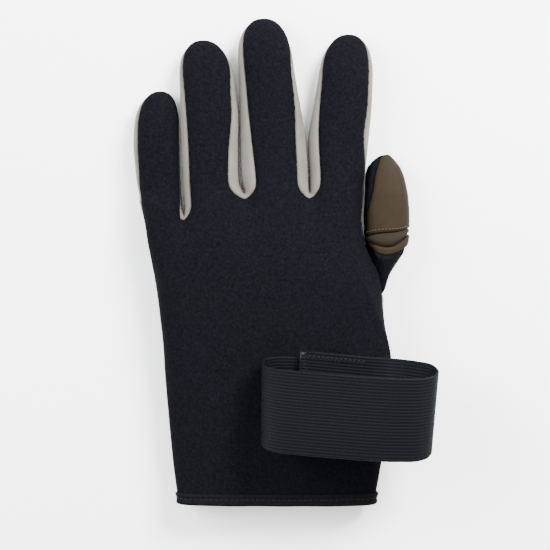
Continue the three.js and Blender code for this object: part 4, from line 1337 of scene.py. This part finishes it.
@dataclass
class ThumbCap:
    """The details round the thumb's slit: the layer beneath it and the hem's stitches."""

    thumb: ThumbForm
    inset: float = 0.02              # columns that the underlap keeps from the shell's edges
    bulge: float = 0.0021            # how far the underlap swells out of the slit
    from_lip: float = 0.7            # rows past the lip's row at which it starts
    past_hem: float = 0.5            # rows past the hem's row at which it ends
    fold_depth: float = 0.0008
    fold_row: float = 2.2            # row at which its fold lies, at fold_column
    fold_column: float = 5
    fold_slant: float = 0.10         # rows that the fold climbs from column to column
    fold_width: float = 0.16
    hem_inset: float = 0.10          # rows between the hem's row and its stitches
    stitch_inset: float = 0.3        # columns that the stitches keep from the shell's edges

    def build_underlap(self) -> bpy.types.Object:
        """Returns the layer that closes the slit from inside, with a soft fold across it."""
        last = 2 * self.thumb.top_steps + self.thumb.side_steps
        columns = np.linspace(self.inset, last - self.inset, 57)
        slit_row, hem_row = self.thumb.slit_row, self.thumb.hem_row
        rows = np.linspace(self.thumb.lip_row + self.from_lip, hem_row + self.past_hem, 25)
        layers = []
        for depth in (SUEDE_WALL + 2 * SEAM_GAP, 2 * SUEDE_WALL + 2 * SEAM_GAP):
            grid = []
            for at in rows:
                row, line = self.thumb.row(at), []
                for column in columns:
                    slit = clamp((at - slit_row) / (hem_row - slit_row), 0, 1)
                    swell = self.bulge * math.sin(math.pi * slit) ** 0.7
                    beside = at - self.fold_row - self.fold_slant * (column - self.fold_column)
                    fold = self.fold_depth * math.exp(-(beside / self.fold_width) ** 2)
                    line.append(tuple(self.thumb.point(row, column, depth + fold - swell)))
                grid.append(line)
            layers.append(np.array(grid))
        return grid_solid("thumb_underlap_cloth", *layers)

    def build_stitching(self) -> bpy.types.Object:
        """Returns the seam of the cap's hem."""
        last = 2 * self.thumb.top_steps + self.thumb.side_steps
        row = self.thumb.row(self.thumb.hem_row + self.hem_inset)
        line, normals = [], []
        for column in np.linspace(self.stitch_inset, last - self.stitch_inset, 50):
            point = self.thumb.point(row, column)
            line.append(point)
            normals.append((point - self.thumb.point(row, column, 0.001)).normalized())
        return Stitching("thumb_hem_stitches", line, normals,
                         pitch=0.0018, length=0.0013, radius=0.0002).build()


# Finishes

@dataclass(frozen=True)
class Socket:
    """One input of a shader node group."""

    name: str
    kind: str
    value: object


class Effect:
    """A shader effect that several finishes share: a node group with named inputs and outputs."""

    made: dict = {}

    def __init__(self, name: str, inputs: list, outputs: list) -> None:
        """Makes the group and its sockets.

        Args:
            name: The group's name.
            inputs: Its inputs.
            outputs: Pairs of an output's name and kind.
        """
        self.tree = bpy.data.node_groups.new(name, "ShaderNodeTree")
        for socket in inputs:
            made = self.tree.interface.new_socket(socket.name, in_out="INPUT", socket_type=socket.kind)
            made.default_value = socket.value
        for output, kind in outputs:
            self.tree.interface.new_socket(output, in_out="OUTPUT", socket_type=kind)
        self.entry = self.tree.nodes.new("NodeGroupInput")
        self.exit = self.tree.nodes.new("NodeGroupOutput")
        Effect.made[name] = self.tree

    def node(self, kind: str, **values) -> bpy.types.Node:
        """Returns a new node of the group, with its properties and inputs set."""
        return add_node(self.tree, kind, **values)

    def link(self, source: bpy.types.NodeSocket, target: bpy.types.NodeSocket) -> None:
        """Joins two sockets."""
        self.tree.links.new(source, target)


def add_node(tree: bpy.types.NodeTree, kind: str, **values) -> bpy.types.Node:
    """Adds a shader node.

    Args:
        tree: The tree that it goes in.
        kind: The node's type.
        values: Its properties, and its inputs by name with spaces as underscores.

    Returns:
        The node.
    """
    made = tree.nodes.new(kind)
    for name, value in values.items():
        if hasattr(made, name) and name not in ("inputs", "outputs"):
            setattr(made, name, value)
        else:
            made.inputs[name.replace("_", " ").title()].default_value = value
    return made


def maths(tree: bpy.types.NodeTree, operation: str,
          *terms: bpy.types.NodeSocket | float) -> bpy.types.NodeSocket:
    """Adds a Math node whose inputs are sockets or numbers, and returns its result."""
    made = add_node(tree, "ShaderNodeMath", operation=operation)
    for place, value in enumerate(terms):
        if isinstance(value, bpy.types.NodeSocket):
            tree.links.new(value, made.inputs[place])
        else:
            made.inputs[place].default_value = value
    return made.outputs[0]


def build_tone_effect() -> None:
    """Builds the slow change of tone that handled cloth has."""
    effect = Effect("cloth_tone", [
        Socket("Size", "NodeSocketFloat", 0.03),
        Socket("Light", "NodeSocketColor", (1, 1, 1, 1)),
        Socket("Dark", "NodeSocketColor", (0, 0, 0, 1)),
    ], [("Color", "NodeSocketColor"), ("Mask", "NodeSocketFloat")])
    place = effect.node("ShaderNodeTexCoord")
    scale = maths(effect.tree, "DIVIDE", 1.0, effect.entry.outputs["Size"])
    cloud = effect.node("ShaderNodeTexNoise", detail=4.0, roughness=0.6, distortion=0.4)
    effect.link(place.outputs["Object"], cloud.inputs["Vector"])
    effect.link(scale, cloud.inputs["Scale"])
    spread = maths(effect.tree, "MULTIPLY_ADD", cloud.outputs["Fac"], 2.4, -0.7)
    mask = maths(effect.tree, "MINIMUM", maths(effect.tree, "MAXIMUM", spread, 0.0), 1.0)
    blend = effect.node("ShaderNodeMix", data_type="RGBA")
    effect.link(mask, blend.inputs["Factor"])
    effect.link(effect.entry.outputs["Dark"], blend.inputs[6])
    effect.link(effect.entry.outputs["Light"], blend.inputs[7])
    effect.link(blend.outputs[2], effect.exit.inputs["Color"])
    effect.link(mask, effect.exit.inputs["Mask"])


def build_jersey_effect() -> None:
    """Builds the fine knit of jersey: rows of loops a few tenths of a millimetre wide, with lint."""
    effect = Effect("jersey_knit", [
        Socket("Loop", "NodeSocketFloat", 0.0006),
        Socket("Lint", "NodeSocketFloat", 0.5),
    ], [("Mask", "NodeSocketFloat"), ("Height", "NodeSocketFloat")])
    place = effect.node("ShaderNodeTexCoord")
    scale = maths(effect.tree, "DIVIDE", 1.0, effect.entry.outputs["Loop"])
    cells = effect.node("ShaderNodeTexVoronoi", feature="F1", randomness=0.7)
    fuzz = effect.node("ShaderNodeTexNoise", detail=2.0, roughness=0.7)
    blotch = effect.node("ShaderNodeTexNoise", scale=900.0, detail=2.0)
    for texture in (cells, fuzz, blotch):
        effect.link(place.outputs["Object"], texture.inputs["Vector"])
    effect.link(scale, cells.inputs["Scale"])
    effect.link(maths(effect.tree, "MULTIPLY", scale, 0.45), fuzz.inputs["Scale"])
    loops = maths(effect.tree, "SUBTRACT", 1.0, cells.outputs["Distance"])
    height = maths(effect.tree, "MULTIPLY_ADD", fuzz.outputs["Fac"], 0.6, loops)
    bright = maths(effect.tree, "GREATER_THAN", blotch.outputs["Fac"], 0.62)
    lint = maths(effect.tree, "MULTIPLY", bright, effect.entry.outputs["Lint"])
    speck = maths(effect.tree, "MULTIPLY_ADD", fuzz.outputs["Fac"], 1.6, -0.45)
    mask = maths(effect.tree, "MULTIPLY_ADD", loops, 0.25, maths(effect.tree, "ADD", speck, lint))
    effect.link(mask, effect.exit.inputs["Mask"])
    effect.link(height, effect.exit.inputs["Height"])


def build_nap_effect() -> None:
    """Builds the short nap of suede: fibres that lie along the hand, with brushed patches."""
    effect = Effect("suede_nap", [
        Socket("Fibre", "NodeSocketFloat", 0.0004),
        Socket("Patch", "NodeSocketFloat", 0.006),
    ], [("Mask", "NodeSocketFloat"), ("Height", "NodeSocketFloat")])
    place = effect.node("ShaderNodeTexCoord")
    lie = effect.node("ShaderNodeMapping")
    lie.inputs["Scale"].default_value = (1.0, 0.45, 1.0)
    effect.link(place.outputs["Object"], lie.inputs["Vector"])
    fibres = effect.node("ShaderNodeTexNoise", detail=3.0, roughness=0.75)
    effect.link(lie.outputs["Vector"], fibres.inputs["Vector"])
    effect.link(maths(effect.tree, "DIVIDE", 1.0, effect.entry.outputs["Fibre"]), fibres.inputs["Scale"])
    brushed = effect.node("ShaderNodeTexNoise", detail=3.0, distortion=1.0)
    effect.link(place.outputs["Object"], brushed.inputs["Vector"])
    effect.link(maths(effect.tree, "DIVIDE", 1.0, effect.entry.outputs["Patch"]), brushed.inputs["Scale"])
    mask = maths(effect.tree, "MULTIPLY_ADD", brushed.outputs["Fac"], 0.8,
                 maths(effect.tree, "MULTIPLY_ADD", fibres.outputs["Fac"], 1.3, -0.55))
    height = maths(effect.tree, "MULTIPLY_ADD", brushed.outputs["Fac"], 0.5, fibres.outputs["Fac"])
    effect.link(mask, effect.exit.inputs["Mask"])
    effect.link(height, effect.exit.inputs["Height"])


def build_weft_effect() -> None:
    """Builds the cross threads of webbing and tape, laid out on the cloth's own UV map."""
    effect = Effect("cross_threads", [
        Socket("Pitch", "NodeSocketFloat", 0.0007),
        Socket("Rib", "NodeSocketFloat", 0.00154),
    ], [("Mask", "NodeSocketFloat"), ("Height", "NodeSocketFloat")])
    place = effect.node("ShaderNodeUVMap", uv_map="cloth")
    parts = effect.node("ShaderNodeSeparateXYZ")
    effect.link(place.outputs["UV"], parts.inputs["Vector"])

    def wave(source: bpy.types.NodeSocket, period: bpy.types.NodeSocket) -> bpy.types.NodeSocket:
        """Returns a wave from 0 to 1 with the period of a socket."""
        turns = maths(effect.tree, "DIVIDE", source, period)
        sine = maths(effect.tree, "SINE", maths(effect.tree, "MULTIPLY", turns, 2 * math.pi))
        return maths(effect.tree, "MULTIPLY_ADD", sine, 0.5, 0.5)

    half = maths(effect.tree, "MULTIPLY", effect.entry.outputs["Rib"], 2.0)
    ribs = wave(parts.outputs["Y"], half)
    shifted = maths(effect.tree, "MULTIPLY_ADD", maths(effect.tree, "ROUND", ribs),
                    maths(effect.tree, "MULTIPLY", effect.entry.outputs["Pitch"], 0.5), parts.outputs["X"])
    threads = wave(shifted, effect.entry.outputs["Pitch"])
    grain = effect.node("ShaderNodeTexNoise", scale=2200.0, detail=2.0)
    source = effect.node("ShaderNodeTexCoord")
    effect.link(source.outputs["Object"], grain.inputs["Vector"])
    mask = maths(effect.tree, "MULTIPLY_ADD", grain.outputs["Fac"], 0.9,
                 maths(effect.tree, "MULTIPLY", threads, 0.5))
    height = maths(effect.tree, "MULTIPLY_ADD", grain.outputs["Fac"], 0.4, threads)
    effect.link(mask, effect.exit.inputs["Mask"])
    effect.link(height, effect.exit.inputs["Height"])


class Surface(Enum):
    """The shared effect that gives a finish its small relief."""

    JERSEY = "jersey_knit"
    NAP = "suede_nap"
    WEBBING = "cross_threads"


@dataclass(frozen=True)
class ClothFinish:
    """A cloth's colours, gloss and relief."""

    name: str
    slot: str
    surface: Surface
    dark: tuple
    light: tuple
    speck: tuple
    speck_share: float = 0.35
    tone_size: float = 0.03
    roughness: tuple = (0.75, 0.95)
    sheen: float = 0.2
    sheen_roughness: float = 0.4
    sheen_tint: tuple = (1, 1, 1)
    specular: float = 0.3
    relief: float = 0.00012
    bump_strength: float = 0.5
    inputs: tuple = ()

    def build(self) -> bpy.types.Material:
        """Returns the finish as a material made of nodes."""
        made = bpy.data.materials.new(self.name)
        made.use_nodes = True
        tree = made.node_tree
        shader = tree.nodes["Principled BSDF"]
        shader.inputs["Sheen Weight"].default_value = self.sheen
        shader.inputs["Sheen Roughness"].default_value = self.sheen_roughness
        shader.inputs["Sheen Tint"].default_value = (*self.sheen_tint, 1)
        shader.inputs["Specular IOR Level"].default_value = self.specular
        tone = add_node(tree, "ShaderNodeGroup", node_tree=Effect.made["cloth_tone"])
        tone.inputs["Size"].default_value = self.tone_size
        tone.inputs["Light"].default_value = (*self.light, 1)
        tone.inputs["Dark"].default_value = (*self.dark, 1)
        effect = add_node(tree, "ShaderNodeGroup", node_tree=Effect.made[self.surface.value])
        for name, value in self.inputs:
            effect.inputs[name].default_value = value
        share = maths(tree, "MULTIPLY", effect.outputs["Mask"], self.speck_share)
        share = maths(tree, "MINIMUM", maths(tree, "MAXIMUM", share, 0.0), 1.0)
        colour = add_node(tree, "ShaderNodeMix", data_type="RGBA")
        tree.links.new(share, colour.inputs["Factor"])
        tree.links.new(tone.outputs["Color"], colour.inputs[6])
        colour.inputs[7].default_value = (*self.speck, 1)
        tree.links.new(colour.outputs[2], shader.inputs["Base Color"])
        low, high = self.roughness
        gloss = maths(tree, "MULTIPLY_ADD", tone.outputs["Mask"], high - low, low)
        tree.links.new(gloss, shader.inputs["Roughness"])
        bump = add_node(tree, "ShaderNodeBump", distance=self.relief, strength=self.bump_strength)
        tree.links.new(effect.outputs["Height"], bump.inputs["Height"])
        tree.links.new(bump.outputs["Normal"], shader.inputs["Normal"])
        return made


FINISHES = (
    ClothFinish("black_jersey_neoprene", "neoprene", Surface.JERSEY,
                dark=(0.0006, 0.0006, 0.0009), light=(0.0014, 0.0014, 0.0020), speck=(0.0085, 0.0088, 0.0120),
                specular=0.018, sheen=0.006, sheen_roughness=0.35, sheen_tint=(0.82, 0.86, 1.0),
                relief=0.00018, bump_strength=0.5, inputs=(("Loop", 0.0007), ("Lint", 0.35))),
    ClothFinish("grey_suede", "suede", Surface.NAP,
                dark=(0.056, 0.049, 0.038), light=(0.098, 0.089, 0.074), speck=(0.160, 0.148, 0.130),
                tone_size=0.018, sheen=0.05, sheen_roughness=0.5, sheen_tint=(0.85, 0.9, 1.0),
                relief=0.0002, bump_strength=0.55),
    ClothFinish("brown_suede", "brown_suede", Surface.NAP,
                dark=(0.0062, 0.0036, 0.0017), light=(0.0125, 0.0078, 0.0041), speck=(0.025, 0.0170, 0.0102),
                tone_size=0.022, roughness=(0.6, 0.85), specular=0.06,
                sheen=0.008, sheen_roughness=0.35, sheen_tint=(0.9, 0.92, 1.0),
                relief=0.0002, bump_strength=0.55),
    # The underlap's suede: its dark brown colours are painted shade, standing in for the shade that falls on
    # this tan layer inside the thumb's slit.
    ClothFinish("dark_suede", "dark_suede", Surface.NAP,
                dark=(0.0050, 0.0031, 0.0016), light=(0.0100, 0.0066, 0.0036), speck=(0.020, 0.0140, 0.0086),
                tone_size=0.012, specular=0.1, sheen=0.01, relief=0.0002),
    ClothFinish("binding_tape", "binding_tape", Surface.JERSEY,
                dark=(0.0007, 0.0007, 0.0009), light=(0.0014, 0.0015, 0.0019), speck=(0.008, 0.0085, 0.0105),
                specular=0.04, sheen=0.005, relief=0.00015, bump_strength=0.6,
                inputs=(("Loop", 0.0005), ("Lint", 0.2))),
    ClothFinish("elastic_webbing", "elastic_webbing", Surface.WEBBING,
                dark=(0.0002, 0.0002, 0.0003), light=(0.0004, 0.0005, 0.0007), speck=(0.0078, 0.010, 0.0135),
                speck_share=0.30, roughness=(0.45, 0.62), sheen=0.002, sheen_tint=(0.75, 0.85, 1.0),
                specular=0.035, relief=0.00012, bump_strength=0.6),
    ClothFinish("hook_tape", "hook_tape", Surface.JERSEY,
                dark=(0.003, 0.003, 0.0035), light=(0.006, 0.006, 0.007), speck=(0.025, 0.025, 0.03),
                specular=0.1, roughness=(0.4, 0.6), sheen=0.0, relief=0.0005, bump_strength=0.9,
                inputs=(("Loop", 0.0012),)),
    ClothFinish("black_thread", "elastic_webbing", Surface.JERSEY,
                dark=(0.002, 0.002, 0.0025), light=(0.004, 0.004, 0.005), speck=(0.012, 0.012, 0.015),
                specular=0.08, roughness=(0.45, 0.6), sheen=0.02, relief=0.00008, inputs=(("Loop", 0.0003),)),
    ClothFinish("tan_thread", "suede", Surface.JERSEY,
                dark=(0.026, 0.019, 0.012), light=(0.042, 0.032, 0.021), speck=(0.065, 0.052, 0.037),
                specular=0.1, sheen=0.02, roughness=(0.5, 0.7), relief=0.00008, inputs=(("Loop", 0.0003),)),
)


@dataclass
class Wardrobe:
    """The finishes, built once and put on pieces by name."""

    materials: dict = field(default_factory=dict)
    slots: dict = field(default_factory=dict)

    def build(self) -> None:
        """Builds the shared effects and every finish."""
        build_tone_effect()
        build_jersey_effect()
        build_nap_effect()
        build_weft_effect()
        for finish in FINISHES:
            self.materials[finish.name] = finish.build()
            self.slots[finish.name] = finish.slot

    def dress(self, piece: bpy.types.Object, finish: str, *nodes: str) -> None:
        """Puts a finish on a piece and ties the piece to the frame.

        Args:
            piece: The piece, already in place.
            finish: The finish's name.
            nodes: CAD nodes that the piece stands for.
        """
        piece.data.materials.clear()
        piece.data.materials.append(self.materials[finish])
        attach(piece, "root")
        if nodes:
            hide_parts(*nodes)
        log.info("%s: %d faces in %s", piece.name, len(piece.data.polygons), finish)


@dataclass(frozen=True)
class Cut:
    """What a sheet of cloth was before it was sewn: its flat size, its area and how it is held."""

    piece: str
    flat: tuple
    area: float
    held: str = "laid"
    rests_on: tuple = ("palm_panel_cloth",)
    sewn_on: tuple = ()

    def declare(self) -> None:
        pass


CUTS = (
    Cut("back_panel_cloth", (0.150, 0.270), 0.0270),
    Cut("wrist_panel_cloth", (0.115, 0.075), 0.0062, rests_on=()),
    Cut("palm_panel_cloth", (0.160, 0.215), 0.0172, rests_on=()),
    Cut("little_ring_gusset_cloth", (0.020, 0.190), 0.00175),
    Cut("ring_middle_gusset_cloth", (0.024, 0.215), 0.00254),
    Cut("middle_index_gusset_cloth", (0.024, 0.215), 0.00241),
    Cut("thumb_shell_cloth", (0.045, 0.075), 0.00157, held="folded"),
    Cut("thumb_cap_cloth", (0.045, 0.045), 0.00156, sewn_on=("thumb_hem_stitches",)),
    Cut("thumb_lip_cloth", (0.010, 0.036), 0.00025, rests_on=("thumb_shell_cloth",)),
    Cut("thumb_underlap_cloth", (0.018, 0.042), 0.00068, rests_on=("thumb_lip_cloth",)),
    Cut("cuff_binding_tape", (0.0145, 0.215), 0.0031, held="folded",
        rests_on=("back_panel_cloth", "wrist_panel_cloth"), sewn_on=("cuff_stitches",)),
    Cut("strap_webbing", (0.040, 0.236), 0.00944, held="folded", rests_on=("back_panel_cloth",),
        sewn_on=("strap_zigzag_stitches",)),
    Cut("strap_hook_tape", (0.0384, 0.0385), 0.00147, rests_on=("strap_webbing",)),
)


@dataclass
class Glove:
    """The whole glove: its panels, cuff binding, thumb cap and strap."""

    wardrobe: Wardrobe
    hand: HandForm = field(default_factory=HandForm)

    def build(self) -> None:
        """Builds the sub-assemblies in the order in which the glove is sewn."""
        self.thumb = ThumbForm(self.hand)
        skin = Skin(self.hand, self.thumb)
        skin.build()
        self.skin = FineSkin(skin)
        self.skin.build()
        for panel in Panel:
            self.add_panel(panel)
        self.add_binding()
        self.add_thumb_details()
        self.add_strap()
        for cut in CUTS:
            cut.declare()

    def add(self, piece: bpy.types.Object, finish: str, *nodes: str) -> None:
        """Places a piece on the frame and dresses it."""
        self.wardrobe.dress(place_on_frame(piece), finish, *nodes)

    def add_panel(self, panel: Panel) -> None:
        """Builds one cloth panel and dresses it."""
        finishes = {
            Panel.BACK: "black_jersey_neoprene",
            Panel.WRIST: "black_jersey_neoprene",
            Panel.THUMB_SHELL: "black_jersey_neoprene",
            Panel.THUMB_CAP: "brown_suede",
            Panel.THUMB_LIP: "brown_suede",
        }
        finish = finishes.get(panel, "grey_suede")
        wall = NEOPRENE_WALL if finish == "black_jersey_neoprene" else SUEDE_WALL
        self.add(PanelCloth(self.skin, panel, wall).build(), finish, panel.value)

    def add_binding(self) -> None:
        """Builds the cuff's tape and seam."""
        binding = CuffBinding(self.skin)
        self.add(binding.build_tape(), "binding_tape", "cuff_binding")
        self.add(binding.build_stitching(), "black_thread")

    def add_thumb_details(self) -> None:
        """Builds the layer under the thumb's slit and the hem's seam."""
        cap = ThumbCap(self.thumb)
        # The underlap's finish carries painted shade: its suede is coloured darker than the cap for the shade
        # inside the slit.
        self.add(cap.build_underlap(), "dark_suede", "thumb_underlap")
        self.add(cap.build_stitching(), "tan_thread")

    def add_strap(self) -> None:
        """Builds the strap, its hook tape and its zigzag seam."""
        strap = WristStrap(self.hand)
        self.add(strap.build_webbing(), "elastic_webbing", "wrist_strap")
        self.add(strap.build_patch(), "hook_tape", "hook_patch")
        self.add(strap.build_stitching(), "black_thread")


@dataclass
class Studio:
    """The pale floor, the soft lights and the camera straight above the glove."""

    camera_at: tuple = (MIDDLE_LINE_X + 0.0025, CUFF_EDGE_Y + 0.114)
    camera_height: float = 0.8
    frame_width: float = 0.275       # width of the picture on the plane through the glove's middle
    plane_height: float = 0.008
    sensor: float = 36
    floor_reach: float = 3
    room_strength: float = 1.9

    def build(self) -> None:
        """Builds the floor, lights and camera."""
        reach = self.floor_reach
        corners = [(-reach, -reach, 0), (reach, -reach, 0), (reach, reach, 0), (-reach, reach, 0)]
        floor = new_mesh("floor", corners, [(0, 1, 2, 3)])
        paper = bpy.data.materials.new("white_paper")
        paper.use_nodes = True
        shader = paper.node_tree.nodes["Principled BSDF"]
        shader.inputs["Base Color"].default_value = (0.98, 0.98, 0.98, 1)
        shader.inputs["Roughness"].default_value = 0.9
        floor.data.materials.append(paper)
        world = bpy.data.worlds.new("room")
        world.use_nodes = True
        room = world.node_tree.nodes["Background"]
        room.inputs["Color"].default_value = (1, 1, 1, 1)
        room.inputs["Strength"].default_value = self.room_strength
        bpy.context.scene.world = world
        self.add_light("window", (-0.80, 0.30, 0.60), 0.6, 30, (0.93, 0.96, 1.0))
        self.add_light("lamp", (0.50, 0.55, 0.60), 0.4, 48, (0.96, 0.98, 1.0))
        self.add_camera()

    def add_light(self, name: str, place: tuple, size: float, power: float, colour: tuple) -> None:
        """Adds a soft area light that faces the glove.

        Args:
            name: The light's name.
            place: Where it stands.
            size: Its side in metres.
            power: Its power in watts.
            colour: Its colour.
        """
        light = bpy.data.lights.new(name, "AREA")
        light.size = size
        light.energy = power
        light.color = colour
        lamp = bpy.data.objects.new(name, light)
        lamp.location = place
        lamp.rotation_euler = (-Vector(place)).to_track_quat("-Z", "Y").to_euler()
        bpy.context.scene.collection.objects.link(lamp)

    def add_camera(self) -> None:
        """Adds the camera that looks straight down."""
        camera = bpy.data.cameras.new("camera")
        camera.sensor_width = self.sensor
        camera.lens = self.sensor * (self.camera_height - self.plane_height) / self.frame_width
        eye = bpy.data.objects.new("camera", camera)
        eye.location = (*self.camera_at, self.camera_height)
        bpy.context.scene.collection.objects.link(eye)
        bpy.context.scene.camera = eye


def main() -> None:
    """Builds the glove and the studio round it."""
    logging.basicConfig(level=logging.INFO)
    wardrobe = Wardrobe()
    wardrobe.build()
    Glove(wardrobe).build()
    Studio().build()


if __name__ == "__main__":
    main()
